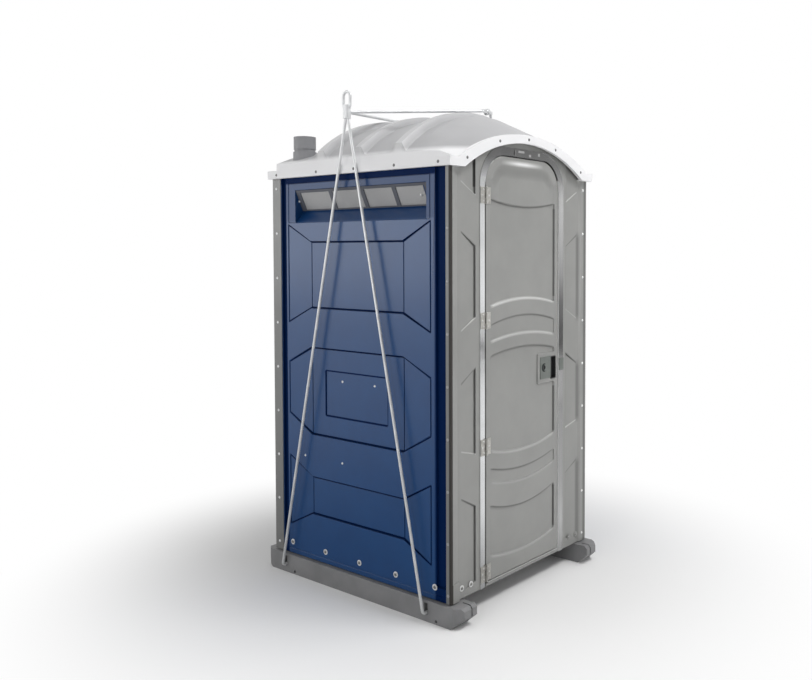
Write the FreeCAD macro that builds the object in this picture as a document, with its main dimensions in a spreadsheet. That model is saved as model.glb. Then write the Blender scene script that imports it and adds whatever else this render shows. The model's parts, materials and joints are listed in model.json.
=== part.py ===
import FreeCAD, Part
import math
import os
import Sketcher

# Portable toilet cabin with its lifting sling.
# Millimetres. Z is up, the floor is z = 0, the door faces -Y and X runs to the right of the door.
# The origin is on the ground under the middle of the cabin.

V = FreeCAD.Vector
doc = FreeCAD.newDocument("toilet_cabin")
sheet = doc.addObject("Spreadsheet::Sheet", "Sizes")


# Sizes: each one is a number and the sheet expression that gives it
class Size:
    def __init__(self, value, text):
        self.value = value
        self.text = text

    def __add__(self, other):
        other = as_size(other)
        return Size(self.value + other.value, f"({self.text} + {other.text})")

    def __sub__(self, other):
        other = as_size(other)
        return Size(self.value - other.value, f"({self.text} - {other.text})")

    def __mul__(self, other):
        other = as_size(other)
        return Size(self.value * other.value, f"({self.text} * {other.text})")

    def __truediv__(self, other):
        other = as_size(other)
        return Size(self.value / other.value, f"({self.text} / {other.text})")

    def __radd__(self, other):
        return as_size(other) + self

    def __rsub__(self, other):
        return as_size(other) - self

    def __rmul__(self, other):
        return as_size(other) * self

    def __neg__(self):
        return Size(-self.value, f"(-1 * {self.text})")


def as_size(number):
    if isinstance(number, Size):
        return number
    return Size(float(number), f"({float(number)})")


def root_of(area):
    area = as_size(area)
    return Size(math.sqrt(area.value), f"sqrt({area.text})")


def size(name, value, note):
    row = size.count + 1
    size.count = row
    sheet.set(f"A{row}", note)
    sheet.set(f"B{row}", str(value))
    sheet.setAlias(f"B{row}", name)
    return Size(float(value), f"Sizes.{name}")


size.count = 0

# Cabin
cab_width = size("cab_width", 1105, "width over the side walls")
cab_depth = size("cab_depth", 1207, "depth over the front and rear panels")
wall_thick = size("wall_thick", 18, "thickness of a twin sheet wall")
wall_bottom = size("wall_bottom", 100, "height of the walls' lower edge")
flange_proud = size("flange_proud", 3.5, "how far a corner flange stands off the side wall")
panel_drop = size("panel_drop", 14, "how far the front panel's face lies behind its left corner")
panel_thick = size("panel_thick", 14, "thickness of the front panel behind its face")
post_slope = size("post_slope", 52, "width of the slope between the left corner and the face")
right_post = size("right_post", 7, "how far the right corner post stands out from the face")
front_flange = size("front_flange", 28, "width of the front corner flange on the side wall")
rear_flange = size("rear_flange", 62, "width of the rear corner flange on the side wall")

# Skids
skid_height = size("skid_height", 96, "height of the skids")
skid_width = size("skid_width", 115, "width of a skid")
skid_outset = size("skid_outset", 19.5, "how far a skid stands out past the side wall")
skid_flat = size("skid_flat", 613, "half length of a skid's sole")
skid_reach = size("skid_reach", 669, "half length of a skid at its nose")
skid_nose = size("skid_nose", 48, "height where the upturned nose starts")
skid_bevel = size("skid_bevel", 30, "bevel on the nose's outer corner")
hook_height = size("hook_height", 40, "height of the sling's feet")
hook_front = size("hook_front", -469, "place of the front sling feet along Y")
hook_rear = size("hook_rear", 505, "place of the rear sling feet along Y")

# Floor
floor_top = size("floor_top", 114, "height of the floor inside")
pan_rim = size("pan_rim", 185, "height of the floor pan's rim")
pan_rim_thick = size("pan_rim_thick", 20, "thickness of the floor pan's rim")
tread_height = size("tread_height", 1.5, "height of the anti slip ribs")

# Roof
rim_bottom = size("rim_bottom", 2016, "height of the roof rim's lower edge at the sides")
rim_height = size("rim_height", 40, "height of the roof rim")
rim_side = size("rim_side", 22.5, "how far the rim stands out past the side walls")
rim_end = size("rim_end", 16.5, "how far the rim stands out past the front panel")
arch_half = size("arch_half", 475, "half width of the rim's lower arch")
arch_rise = size("arch_rise", 142, "rise of the rim's lower arch")
crest_half = size("crest_half", 517, "half width of the rim's upper arch")
crest_rise = size("crest_rise", 143, "rise of the rim's upper arch")
roof_shell = size("roof_shell", 5, "thickness of the roof sheet")
vault_half = size("vault_half", 531, "half width of the vault")
curb_height = size("curb_height", 44, "height of the curb over the rim")
rib_side = size("rib_side", 83, "height of a rib's side over the rim")
rib_crown = size("rib_crown", 2335, "height of the ribs at the middle")
valley_drop = size("valley_drop", 27, "drop between a rib and the valley beside it")
vault_front = size("vault_front", -370, "front end of the vault")
vault_rear = size("vault_rear", 340, "rear end of the vault")
platform_crown = size("platform_crown", 2205, "height of the low rear platform at the middle")
rib_pitch = size("rib_pitch", 265, "distance between ribs")
rib_middle = size("rib_middle", -8, "place of the middle rib")
rib_foot = size("rib_foot", 45, "half width of a rib at its foot")
rib_top = size("rib_top", 20, "half width of a rib at its top")

# Vent stack
stack_x = size("stack_x", -430, "place of the vent stack along X")
stack_back = size("stack_back", 103.5, "distance of the vent stack from the rear wall's face")
stack_radius = size("stack_radius", 53.5, "outer radius of the vent stack")
stack_wall = size("stack_wall", 3.5, "wall of the vent stack")
stack_top = size("stack_top", 2236, "height of the vent stack")
head_radius = size("head_radius", 56.5, "outer radius of the sleeve round the stack's head")
head_length = size("head_length", 64, "length of the sleeve round the stack's head")

# Side wall relief
field_depth = size("field_depth", 8, "depth of the side walls' fields")
field_inner = size("field_inner", 315, "half width of a field's flat floor")
field_outer = size("field_outer", 484, "half width of a field")
channel_depth = size("channel_depth", 12, "depth of the upright channels beside the flanges")
plate_depth = size("plate_depth", 4, "depth of the recessed plate below its field")
crease_depth = size("crease_depth", 4, "depth of the creases below the surface that they run in")
crease_half = size("crease_half", 3.5, "half width of the creases round a field")
fold_half = size("fold_half", 2, "half width of the creases along a field's floor")
surround_top = size("surround_top", 1988, "upper edge of the vent's surround")

# Side vents
vent_front = size("vent_front", -460, "front end of the vent hopper")
vent_rear = size("vent_rear", 430, "rear end of the vent hopper")
vent_top = size("vent_top", 1953, "upper edge of the hopper")
vent_fold = size("vent_fold", 1849, "height of the hopper's inner fold")
vent_bottom = size("vent_bottom", 1790, "lower edge of the hopper")
vent_depth = size("vent_depth", 50, "depth of the hopper")
hopper_wall = size("hopper_wall", 8, "wall of the hopper along X")
frame_thick = size("frame_thick", 4, "thickness of the vent frame along X")
mesh_thick = size("mesh_thick", 1.5, "thickness of the mesh along X")
seat_gap = size("seat_gap", 0.3, "gap between pieces that rest on each other")

# Doorway and door
door_way = size("door_way", 604, "clear width of the doorway")
door_way_top = size("door_way_top", 2096, "height of the doorway's head")
door_way_bottom = size("door_way_bottom", 116, "height of the doorway's sill")
corner_radius = size("corner_radius", 145, "radius of the doorway's upper corners")
trim_width = size("trim_width", 37, "width of the bright trim")
trim_thick = size("trim_thick", 3.5, "thickness of the trim")
lining_thick = size("lining_thick", 2, "thickness of the frame's lining")
stop_width = size("stop_width", 14, "width of the stop that the door closes on")
door_gap = size("door_gap", 4, "gap round the door")
door_thick = size("door_thick", 30, "thickness of the door")
door_rim = size("door_rim", 34, "width of the door's plain rim")
door_field = size("door_field", 8, "depth of the door's fields")
groove_field = size("groove_field", 5, "depth of the grooves between the bands")

# Hinges
hinge_height = size("hinge_height", 75, "height of a hinge")
hinge_leaf = size("hinge_leaf", 38, "width of a hinge leaf")
leaf_thick = size("leaf_thick", 2.5, "thickness of a hinge leaf")
knuckle_radius = size("knuckle_radius", 6, "radius of a knuckle")
pin_radius = size("pin_radius", 2.5, "radius of a hinge pin")
run_gap = size("run_gap", 0.05, "running clearance")
HINGE_HEIGHTS = (1901, 1331, 751, 165)

# Latch
latch_side = size("latch_side", 132, "distance of the latch spindle from the doorway's side")
latch_z = size("latch_z", 1066, "height of the latch spindle")
latch_plate_w = size("latch_plate_w", 88, "width of the latch plate")
latch_plate_tall = size("latch_plate_tall", 110, "height of the latch plate")
window_radius = size("window_radius", 14, "radius of the indicator window")
spindle_radius = size("spindle_radius", 5, "radius of the spindle")
bolt_travel = size("bolt_travel", 28, "travel of the bolt")
case_side = size("case_side", 27, "distance of the latch case's free end from the doorway's side")

# Tank, deck and seat
tank_front = size("tank_front", 160, "front of the holding tank")
tank_half = size("tank_half", 500, "half width of the holding tank")
tank_wall = size("tank_wall", 6, "wall of the holding tank")
deck_top = size("deck_top", 460, "height of the seat deck")
deck_thick = size("deck_thick", 20, "thickness of the seat deck")
hole_radius = size("hole_radius", 125, "radius of the hole in the deck")
seat_back = size("seat_back", 245.5, "distance of the seat's middle from the rear wall")
seat_half = size("seat_half", 175, "half width of the seat")
seat_straight = size("seat_straight", 30, "half of the seat's straight sides")
seat_thick = size("seat_thick", 20, "thickness of the seat")
ring_width = size("ring_width", 58, "width of the seat's ring")

# Urinal and paper
urinal_y = size("urinal_y", -9, "middle of the urinal along Y")
urinal_half = size("urinal_half", 125, "half width of the urinal")
urinal_reach = size("urinal_reach", 190, "how far the urinal stands off the wall")
urinal_bottom = size("urinal_bottom", 700, "bottom of the urinal")
urinal_lip = size("urinal_lip", 870, "height of the urinal's front lip")
urinal_top = size("urinal_top", 1050, "top of the urinal's back")
urinal_wall = size("urinal_wall", 6, "wall of the urinal")
hose_radius = size("hose_radius", 16, "radius of the drain hose")
paper_y = size("paper_y", 250, "middle of the paper holder along Y")
paper_z = size("paper_z", 620, "height of the paper bar")
paper_radius = size("paper_radius", 52, "radius of a paper roll")
paper_width = size("paper_width", 100, "width of a paper roll")
core_radius = size("core_radius", 20, "radius of a roll's core")
bar_radius = size("bar_radius", 19.7, "radius of the paper bar")

# Sling
rod_radius = size("rod_radius", 7, "radius of the sling's rods")
foot_x = size("foot_x", 592, "distance of the feet from the middle")
apex_x = size("apex_x", -582, "place of the left apex along X")
apex_y = size("apex_y", 13, "place of the left apex along Y")
apex_z = size("apex_z", 2309, "height where the left legs meet")
ring_top = size("ring_top", 2401, "top of the lifting ring")
ring_half = size("ring_half", 30, "half width of the lifting ring")
lug_x = size("lug_x", 104, "place of the roof lugs along X")
lug_z = size("lug_z", 2357, "height of the roof lugs")
lug_front = size("lug_front", -281, "place of the front roof lugs along Y")
lug_rear = size("lug_rear", 307, "place of the rear roof lugs along Y")
lug_radius = size("lug_radius", 16, "radius of a lug")
lug_thick = size("lug_thick", 6, "thickness of a lug")
eave_x = size("eave_x", 584, "place where the right legs turn over the roof")
eave_z = size("eave_z", 2140, "height where the right legs turn over the roof")
eave_front = size("eave_front", -205, "place along Y where the front right leg turns over the roof")
eave_rear = size("eave_rear", 189, "place along Y where the rear right leg turns over the roof")

doc.recompute()

# Planes that several pieces share
side = cab_width / 2
front = -cab_depth / 2
rear = cab_depth / 2
side_inner = side - wall_thick
face = front + panel_drop
front_inner = face + panel_thick
rear_inner = rear - wall_thick
rim_top = rim_bottom + rim_height
stack_y = rear - stack_back
seat_y = rear_inner - seat_back
latch_x = door_way / 2 - latch_side
case_end = door_way / 2 - case_side


# Sketches, in the plane's own two directions
NORMALS = {"XY": "Z", "XZ": "Y", "YZ": "X"}
TURNS = {
    "XY": FreeCAD.Rotation(V(1, 0, 0), V(0, 1, 0), V(0, 0, 1)),
    "XZ": FreeCAD.Rotation(V(1, 0, 0), V(0, 0, 1), V(0, -1, 0)),
    "YZ": FreeCAD.Rotation(V(0, 1, 0), V(0, 0, 1), V(1, 0, 0)),
}


def arc(radius, x, y, left=True):
    return ("arc", as_size(radius), as_size(x), as_size(y), left)


def circle(x, y, radius):
    return [("circle", as_size(x), as_size(y), as_size(radius))]


def rectangle(x0, x1, y0, y1):
    return [(x0, y0), (x1, y0), (x1, y1), (x0, y1)]


def arc_curve(start, end, radius, left):
    """Circle arc from start to end, with its centre on the left or right of the way."""
    chord = end - start
    half = chord.Length / 2
    normal = V(-chord.y, chord.x, 0)
    normal.normalize()
    rise = math.sqrt(max(radius * radius - half * half, 0))
    centre = start + chord * 0.5 + normal * (rise if left else -rise)
    first, last = (start, end) if left else (end, start)
    a0 = math.atan2(first.y - centre.y, first.x - centre.x)
    a1 = math.atan2(last.y - centre.y, last.x - centre.x)
    if a1 < a0:
        a1 += 2 * math.pi
    return Part.ArcOfCircle(Part.Circle(centre, V(0, 0, 1), radius), a0, a1)


def bind(sketch, kind, *rest):
    *places, wanted = rest
    index = sketch.addConstraint(Sketcher.Constraint(kind, *places, wanted.value))
    sketch.setExpression(f"Constraints[{index}]", wanted.text)


def place_point(sketch, curve, end, x, y):
    if abs(x.value) > 1e-6:
        bind(sketch, "DistanceX", -1, 1, curve, end, x)
    else:
        sketch.addConstraint(Sketcher.Constraint("PointOnObject", curve, end, -2))
    if abs(y.value) > 1e-6:
        bind(sketch, "DistanceY", -1, 1, curve, end, y)
    else:
        sketch.addConstraint(Sketcher.Constraint("PointOnObject", curve, end, -1))


def draw(sketch, outline):
    """One closed outline: points, and arcs that lead from the point before to their own point."""
    if outline[0][0] == "circle":
        _, x, y, radius = outline[0]
        curve = sketch.addGeometry(Part.Circle(V(x.value, y.value, 0), V(0, 0, 1), radius.value))
        place_point(sketch, curve, 3, x, y)
        bind(sketch, "Radius", curve, radius)
        return
    corners = []
    for item in outline:
        corners.append((item[2], item[3]) if item[0] == "arc" else (as_size(item[0]), as_size(item[1])))
    curves = []
    count = len(outline)
    for i in range(count):
        here = corners[i]
        after = corners[(i + 1) % count]
        item = outline[(i + 1) % count]
        start = V(here[0].value, here[1].value, 0)
        end = V(after[0].value, after[1].value, 0)
        if item[0] == "arc":
            curve = sketch.addGeometry(arc_curve(start, end, item[1].value, item[4]))
            first, last = (1, 2) if item[4] else (2, 1)
            curves.append((curve, first, last, item[1]))
        else:
            curve = sketch.addGeometry(Part.LineSegment(start, end))
            curves.append((curve, 1, 2, None))
    for i, (curve, first, last, radius) in enumerate(curves):
        after = curves[(i + 1) % count]
        sketch.addConstraint(Sketcher.Constraint("Coincident", curve, last, after[0], after[1]))
        place_point(sketch, curve, first, *corners[i])
        if radius is not None:
            bind(sketch, "Radius", curve, radius)


def outlines_of(outline):
    """A list of outlines, also where only one is given."""
    return outline if isinstance(outline[0], list) else [outline]


# Part shapes
def prism(name, plane, low, high, outline):
    """A straight prism between two positions along the plane's normal."""
    low = as_size(low)
    high = as_size(high)
    sketch = doc.addObject("Sketcher::SketchObject", name + "_outline")
    sketch.Placement = FreeCAD.Placement(V(0, 0, 0), TURNS[plane])
    start = high if plane == "XZ" else low
    sketch.setExpression(f"Placement.Base.{NORMALS[plane].lower()}", start.text)
    for one in outlines_of(outline):
        draw(sketch, one)
    solid = doc.addObject("Part::Extrusion", name)
    solid.Base = sketch
    solid.DirMode = "Normal"
    solid.Solid = True
    solid.setExpression("LengthFwd", (high - low).text)
    return solid


def box(name, x0, x1, y0, y1, z0, z1):
    solid = doc.addObject("Part::Box", name)
    spans = (("Length", "x", x0, x1), ("Width", "y", y0, y1), ("Height", "z", z0, z1))
    for length, axis, low, high in spans:
        low = as_size(low)
        high = as_size(high)
        solid.setExpression(length, (high - low).text)
        solid.setExpression(f"Placement.Base.{axis}", low.text)
    return solid


AXIS_TURNS = {
    "X": FreeCAD.Rotation(V(0, 1, 0), 90),
    "Y": FreeCAD.Rotation(V(1, 0, 0), -90),
    "-Y": FreeCAD.Rotation(V(1, 0, 0), 90),
    "-X": FreeCAD.Rotation(V(0, 1, 0), -90),
    "Z": FreeCAD.Rotation(),
}


def place(solid, axis, x, y, z):
    solid.Placement = FreeCAD.Placement(V(0, 0, 0), AXIS_TURNS[axis])
    for name, value in (("x", x), ("y", y), ("z", z)):
        solid.setExpression(f"Placement.Base.{name}", as_size(value).text)


def cylinder(name, axis, x, y, z, radius, length):
    solid = doc.addObject("Part::Cylinder", name)
    place(solid, axis, x, y, z)
    solid.setExpression("Radius", as_size(radius).text)
    solid.setExpression("Height", as_size(length).text)
    return solid


def stud(name, axis, x, y, z, radius, tip_radius, length):
    """A fastener's head: a low cone that stands on a surface."""
    solid = doc.addObject("Part::Cone", name)
    place(solid, axis, x, y, z)
    solid.setExpression("Radius1", as_size(radius).text)
    solid.setExpression("Radius2", as_size(tip_radius).text)
    solid.setExpression("Height", as_size(length).text)
    return solid


def fuse(name, *parts):
    joined = doc.addObject("Part::MultiFuse", name)
    joined.Shapes = list(parts)
    return joined


def common(name, *parts):
    shared = doc.addObject("Part::MultiCommon", name)
    shared.Shapes = list(parts)
    return shared


def cut(name, base, *tools):
    result = doc.addObject("Part::Cut", name)
    result.Base = base
    result.Tool = tools[0] if len(tools) == 1 else fuse(name + "_tools", *tools)
    return result


def group(name, parts):
    """Like pieces that stay separate solids."""
    compound = doc.addObject("Part::Compound", name)
    compound.Links = list(parts)
    return compound


def mirror(name, source):
    """The same piece on the other side of the cabin's middle plane."""
    copy = doc.addObject("Part::Mirroring", name)
    copy.Source = source
    copy.Base = V(0, 0, 0)
    copy.Normal = V(1, 0, 0)
    return copy


# Bodies made of pads and pockets
def new_body(name):
    return doc.addObject("PartDesign::Body", name)


def body_sketch(body, plane, position, outline):
    sketch = body.newObject("Sketcher::SketchObject", body.Name + "_outline")
    origin = [item for item in body.Origin.OriginFeatures if item.Role == plane + "_Plane"][0]
    sketch.AttachmentSupport = [(origin, "")]
    sketch.MapMode = "FlatFace"
    offset = -position if plane == "XZ" else position
    sketch.setExpression("AttachmentOffset.Base.z", offset.text)
    for one in outlines_of(outline):
        draw(sketch, one)
    return sketch


def pad(body, plane, low, high, outline):
    low = as_size(low)
    high = as_size(high)
    sketch = body_sketch(body, plane, high if plane == "XZ" else low, outline)
    feature = body.newObject("PartDesign::Pad", body.Name + "_pad")
    feature.Profile = sketch
    feature.setExpression("Length", (high - low).text)
    body.Tip = feature
    return feature


def pocket(body, plane, low, high, outline):
    low = as_size(low)
    high = as_size(high)
    sketch = body_sketch(body, plane, low if plane == "XZ" else high, outline)
    feature = body.newObject("PartDesign::Pocket", body.Name + "_pocket")
    feature.Profile = sketch
    feature.setExpression("Length", (high - low).text)
    body.Tip = feature
    return feature


# Bent rods, swept along runs that are joined by tangent arcs
def rod_shape(points, radius, bend):
    edges = []
    start = points[0]
    for i in range(1, len(points) - 1):
        before = (points[i - 1] - points[i]).normalize()
        after = (points[i + 1] - points[i]).normalize()
        turn = math.pi - before.getAngle(after)
        reach = bend * math.tan(turn / 2)
        first = points[i] + before * reach
        last = points[i] + after * reach
        inward = (before + after).normalize()
        middle = points[i] + inward * (bend / math.cos(turn / 2) - bend)
        edges.append(Part.LineSegment(start, first).toShape())
        edges.append(Part.Arc(first, middle, last).toShape())
        start = last
    edges.append(Part.LineSegment(start, points[-1]).toShape())
    path = Part.Wire(edges)
    along = (points[1] - points[0]).normalize()
    section = Part.Wire([Part.Circle(points[0], along, radius).toShape()])
    return path.makePipeShell([section], True, False)


def feature(name, shape):
    item = doc.addObject("Part::Feature", name)
    item.Shape = shape
    return item


nodes = []


def node(name, item):
    item.Label = name
    nodes.append(item)
    return item


# Skids
def make_skid():
    body = new_body("skid_left")
    outer = -side - skid_outset
    inner = outer + skid_width
    top_lead = 14
    pad(body, "YZ", outer, inner, [
        (-skid_flat, 0), (skid_flat, 0),
        (skid_reach, skid_nose), (skid_reach, skid_height - top_lead),
        (skid_reach - top_lead, skid_height), (-skid_reach + top_lead, skid_height),
        (-skid_reach, skid_height - top_lead), (-skid_reach, skid_nose)])
    corners = []
    for sign in (-1, 1):
        corners.append([
            (outer, sign * skid_reach), (outer, sign * (skid_reach - skid_bevel * 1.4)),
            (outer + skid_bevel, sign * skid_reach)])
    pocket(body, "XY", 0, skid_height, corners)
    pocket_half = rod_radius + 3
    pocket_deep = 28
    pocket_tall = skid_height - 12
    hooks = [rectangle(y - pocket_half, y + pocket_half, hook_height - rod_radius - seat_gap, pocket_tall)
             for y in (hook_front, hook_rear)]
    pocket(body, "YZ", outer, outer + pocket_deep, hooks)
    drain_radius = 7
    drain_height = 14
    drains = [circle(y, drain_height, drain_radius) for y in (hook_front - 60, hook_rear - 70)]
    pocket(body, "YZ", outer, outer + 20, drains)
    groove_near = inner - 30
    groove_far = inner - 38
    for sign in (-1, 1):
        ends = sorted((sign * skid_reach.value, sign * (skid_reach.value - 10)))
        notch = rectangle(groove_far, groove_near, as_size(ends[0]), as_size(ends[1]))
        pocket(body, "XY", 0, skid_height, notch)
        ends = sorted((sign * skid_reach.value, sign * (skid_reach.value - 55)))
        pocket(body, "XY", skid_height - 7, skid_height,
               rectangle(groove_far, groove_near, as_size(ends[0]), as_size(ends[1])))
    channel_half = 22
    channel_middle = (outer + inner) / 2
    pocket(body, "XY", 0, 30, rectangle(channel_middle - channel_half, channel_middle + channel_half,
                                        -skid_flat + 60, skid_flat - 60))
    return body


skid_left = node("skid_left", make_skid())
node("skid_right", mirror("skid_right", skid_left))


# Floor pan
def make_floor():
    body = new_body("floor_pan")
    half = side_inner
    pad(body, "XY", skid_height, floor_top, rectangle(-half, half, front_inner, rear_inner))
    inner = half - pan_rim_thick
    inner_front = front_inner + pan_rim_thick
    way = door_way / 2
    pad(body, "XY", floor_top, pan_rim, [
        (-half, front_inner), (-way - 8, front_inner), (-way - 8, inner_front), (-inner, inner_front),
        (-inner, rear_inner - pan_rim_thick), (inner, rear_inner - pan_rim_thick), (inner, inner_front),
        (way + 8, inner_front), (way + 8, front_inner), (half, front_inner), (half, rear_inner),
        (-half, rear_inner)])
    rib_count = 9
    rib_half = 6
    rib_from = inner_front + 30
    rib_to = tank_front - 25
    ribs = []
    for i in range(rib_count):
        x = (i - (rib_count - 1) / 2) * 95
        ribs.append(rectangle(x - rib_half, x + rib_half, rib_from, rib_to))
    pad(body, "XY", floor_top, floor_top + tread_height, ribs)
    return body


node("floor_pan", make_floor())


# Side walls
FIELDS = (
    # top at the ends, top in the middle, bottom in the middle, bottom at the ends
    ("upper", 1781, 1693, 1368, 1290),
    ("middle", 1087, 1168, 736, 827),
    ("lower", 608, 518, 334, 252),
)


def hopper_line(shift):
    """The hopper's three corners, moved inward by shift."""
    face = -side + shift
    return [(face, vent_top), (face + vent_depth, vent_fold), (face, vent_bottom)]


def field_outline(top_end, top_mid, bottom_mid, bottom_end, past_end=0.0, past_edge=0.0):
    """A field's eight corners, moved out by past_end at its ends and by past_edge above and below."""
    end = field_outer + past_end
    return [
        (-end, bottom_end - past_edge), (-field_inner, bottom_mid - past_edge),
        (field_inner, bottom_mid - past_edge), (end, bottom_end - past_edge),
        (end, top_end + past_edge), (field_inner, top_mid + past_edge),
        (-field_inner, top_mid + past_edge), (-end, top_end + past_edge)]


def make_wall_creases():
    """Narrow creases round the fields, along the sides of their floors and round the vent."""
    field_floor = -side + field_depth + crease_depth
    edge_floor = -side + crease_depth
    past = field_outer + 20
    floors = prism("crease_floors", "XY", wall_bottom, rim_bottom, [
        (-side - 1, -past), (edge_floor, -past), (edge_floor, -field_outer), (field_floor, -field_inner),
        (field_floor, field_inner), (edge_floor, field_outer), (edge_floor, past), (-side - 1, past)])
    rings = []
    for _, *heights in FIELDS:
        rings.append(field_outline(*heights, crease_half, crease_half))
        rings.append(field_outline(*heights, -crease_half, -crease_half))
    lines = [prism("crease_rings", "YZ", -side - 2, field_floor + 1, rings)]
    for name, _, top_mid, bottom_mid, _ in FIELDS:
        for place, middle in (("front", -field_inner), ("rear", field_inner)):
            lines.append(box(f"crease_{name}_{place}", -side - 2, field_floor + 1, middle - fold_half,
                             middle + fold_half, bottom_mid, top_mid))
    creases = common("wall_creases", floors, fuse("crease_lines", *lines))
    surround_bottom = FIELDS[0][1] + 8
    surround = [
        [(-field_outer, surround_bottom), (field_outer, surround_bottom), (field_outer, surround_top),
         (-field_outer, surround_top)],
        [(-field_outer + 2 * fold_half, surround_bottom + 2 * fold_half),
         (field_outer - 2 * fold_half, surround_bottom + 2 * fold_half),
         (field_outer - 2 * fold_half, surround_top - 2 * fold_half),
         (-field_outer + 2 * fold_half, surround_top - 2 * fold_half)]]
    return creases, prism("vent_surround", "YZ", -side - 2, edge_floor, surround)


def make_side_wall():
    slab = box("wall_slab", -side, -side_inner, front_inner, rear_inner, wall_bottom, rim_top - roof_shell)
    bulge_cover = hopper_wall + frame_thick + mesh_thick
    bulge = prism("wall_bulge", "XZ", vent_front - hopper_wall, vent_rear + hopper_wall,
                  hopper_line(bulge_cover))
    flat_floor = prism("field_depths", "XY", wall_bottom, rim_bottom, [
        (-side - 1, -field_outer), (-side + 0.5, -field_outer), (-side + field_depth, -field_inner),
        (-side + field_depth, field_inner), (-side + 0.5, field_outer), (-side - 1, field_outer)])
    outlines = [field_outline(*heights) for _, *heights in FIELDS]
    field_shapes = prism("field_shapes", "YZ", -side - 2, -side + field_depth + 2, outlines)
    fields = common("wall_fields", flat_floor, field_shapes)
    plate = box("wall_plate", -side, -side + field_depth + plate_depth, -208, 219, 838, 1061)
    hopper = prism("wall_hopper", "XZ", vent_front, vent_rear, hopper_line(frame_thick + mesh_thick + seat_gap))
    hopper_mouth = prism("wall_hopper_mouth", "XZ", vent_front, vent_rear, [
        (-side - 1, vent_bottom), (-side + frame_thick + mesh_thick + seat_gap, vent_bottom),
        (-side + frame_thick + mesh_thick + seat_gap, vent_top), (-side - 1, vent_top)])
    slot = box("wall_slot", -side - 1, -side + vent_depth + 40, vent_front + 60, vent_rear - 25,
               vent_fold + 4, vent_top - 8)
    channels = []
    lead = 3
    channel_outlines = (("front", front + front_flange + 2, -field_outer - 32),
                        ("rear", field_outer + 18, rear - rear_flange - 6))
    for name, low, high in channel_outlines:
        channels.append(prism("channel_" + name, "XY", wall_bottom + 60, rim_bottom + 10, [
            (-side - 1, low), (-side + channel_depth, low + lead), (-side + channel_depth, high - lead),
            (-side - 1, high)]))
    base_groove = box("wall_base_groove", -side - 1, -side + 3, front_inner + 26, rear_inner - 90, 122, 128)
    solid = fuse("wall_solid", slab, bulge)
    creases, surround = make_wall_creases()
    return cut("wall_left", solid, fields, plate, creases, surround, hopper, hopper_mouth, slot, base_groove,
               *channels)


wall_left = node("wall_left", make_side_wall())
node("wall_right", mirror("wall_right", wall_left))


# Vent frames and mesh, on the hopper's upper slope
def hopper_sheet(near, far, top_drop, bottom_lift):
    """A sheet on the hopper's slope between two shifts, cut short at its ends."""
    run = vent_depth / (vent_top - vent_fold)
    top = vent_top - top_drop
    bottom = vent_fold + bottom_lift
    top_x = top_drop * run - side
    bottom_x = vent_depth - bottom_lift * run - side
    return [(top_x + near, top), (bottom_x + near, bottom), (bottom_x + far, bottom), (top_x + far, top)]


def make_vent_frame():
    sheet_out = hopper_sheet(as_size(0.3), frame_thick, as_size(2), as_size(2))
    plate = prism("vent_sheet", "XZ", vent_front + seat_gap, vent_rear - seat_gap, sheet_out)
    pane_starts = (-440, -238, -30, 190)
    pane_ends = (-262, -54, 166, 400)
    panes = [box(f"vent_pane_{i}", -side - 10, -side + vent_depth + 10, low, high, vent_fold + 8, vent_top - 14)
             for i, (low, high) in enumerate(zip(pane_starts, pane_ends))]
    return cut("vent_frame_left", plate, *panes)


vent_frame = node("vent_frame_left", make_vent_frame())
node("vent_frame_right", mirror("vent_frame_right", vent_frame))
vent_mesh = node("vent_mesh_left", prism(
    "vent_mesh_left", "XZ", vent_front + 30, vent_rear - 12,
    hopper_sheet(frame_thick, frame_thick + mesh_thick, as_size(4), as_size(3))))
node("vent_mesh_right", mirror("vent_mesh_right", vent_mesh))


# Front panel and rear wall
def radius_of(half, rise):
    half = as_size(half)
    rise = as_size(rise)
    return (half * half + rise * rise) / (rise * 2)


panel_lift = 20
panel_arch = radius_of(arch_half, arch_rise)


def panel_outline():
    """The end panels' outline, whose arched head is behind the roof's rim."""
    shoulder = rim_bottom + panel_lift
    return [(-side, wall_bottom), (side, wall_bottom), (side, shoulder), (arch_half, shoulder),
            arc(panel_arch, -arch_half, shoulder), (-side, shoulder)]


def doorway_outline(grow, bottom):
    """The doorway's arched outline, grown outward."""
    half = door_way / 2 + grow
    top = door_way_top + grow
    radius = corner_radius + grow
    return [(-half, bottom), (half, bottom), (half, top - radius),
            arc(radius, half - radius, top), (-half + radius, top), arc(radius, -half, top - radius)]


STRIP_FIELDS = (
    # top at the corner post, top by the door, bottom by the door, bottom at the corner post
    (2034, 2085, 1901, 1956),
    (1733, 1671, 1349, 1295),
    (1059, 1120, 732, 758),
    (545, 493, 150, 128),
)


def strip_fields(name, surface, inward, sign):
    """Wedge shaped fields on one upright strip of an end panel."""
    by_door = door_way / 2 + 67
    by_post = side - 82.5
    deep = field_depth
    profile = [(sign * by_door, surface), (sign * by_post, surface),
               (sign * by_door, surface + inward * deep)]
    wedge = prism(name + "_wedge", "XY", wall_bottom, rim_bottom + 60, profile)
    outlines = []
    for top_post, top_door, bottom_door, bottom_post in STRIP_FIELDS:
        outlines.append([(sign * by_door, bottom_door), (sign * by_post, bottom_post),
                         (sign * by_post, top_post), (sign * by_door, top_door)])
    low = surface - 1 if inward > 0 else surface - deep - 1
    high = surface + deep + 1 if inward > 0 else surface + 1
    shapes = prism(name + "_shapes", "XZ", low, high, outlines)
    return common(name, wedge, shapes)


def rear_grooves():
    """The step beside each rear corner post."""
    grooves = []
    for name, sign in (("left", -1), ("right", 1)):
        outline = [(sign * (side - 20), rear), (sign * (side - 36), rear - 6),
                   (sign * (side - 58), rear - 6), (sign * (side - 78), rear)]
        grooves.append(prism(f"rear_groove_{name}", "XY", wall_bottom + 62, rim_bottom + 30, outline))
    return grooves


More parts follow.
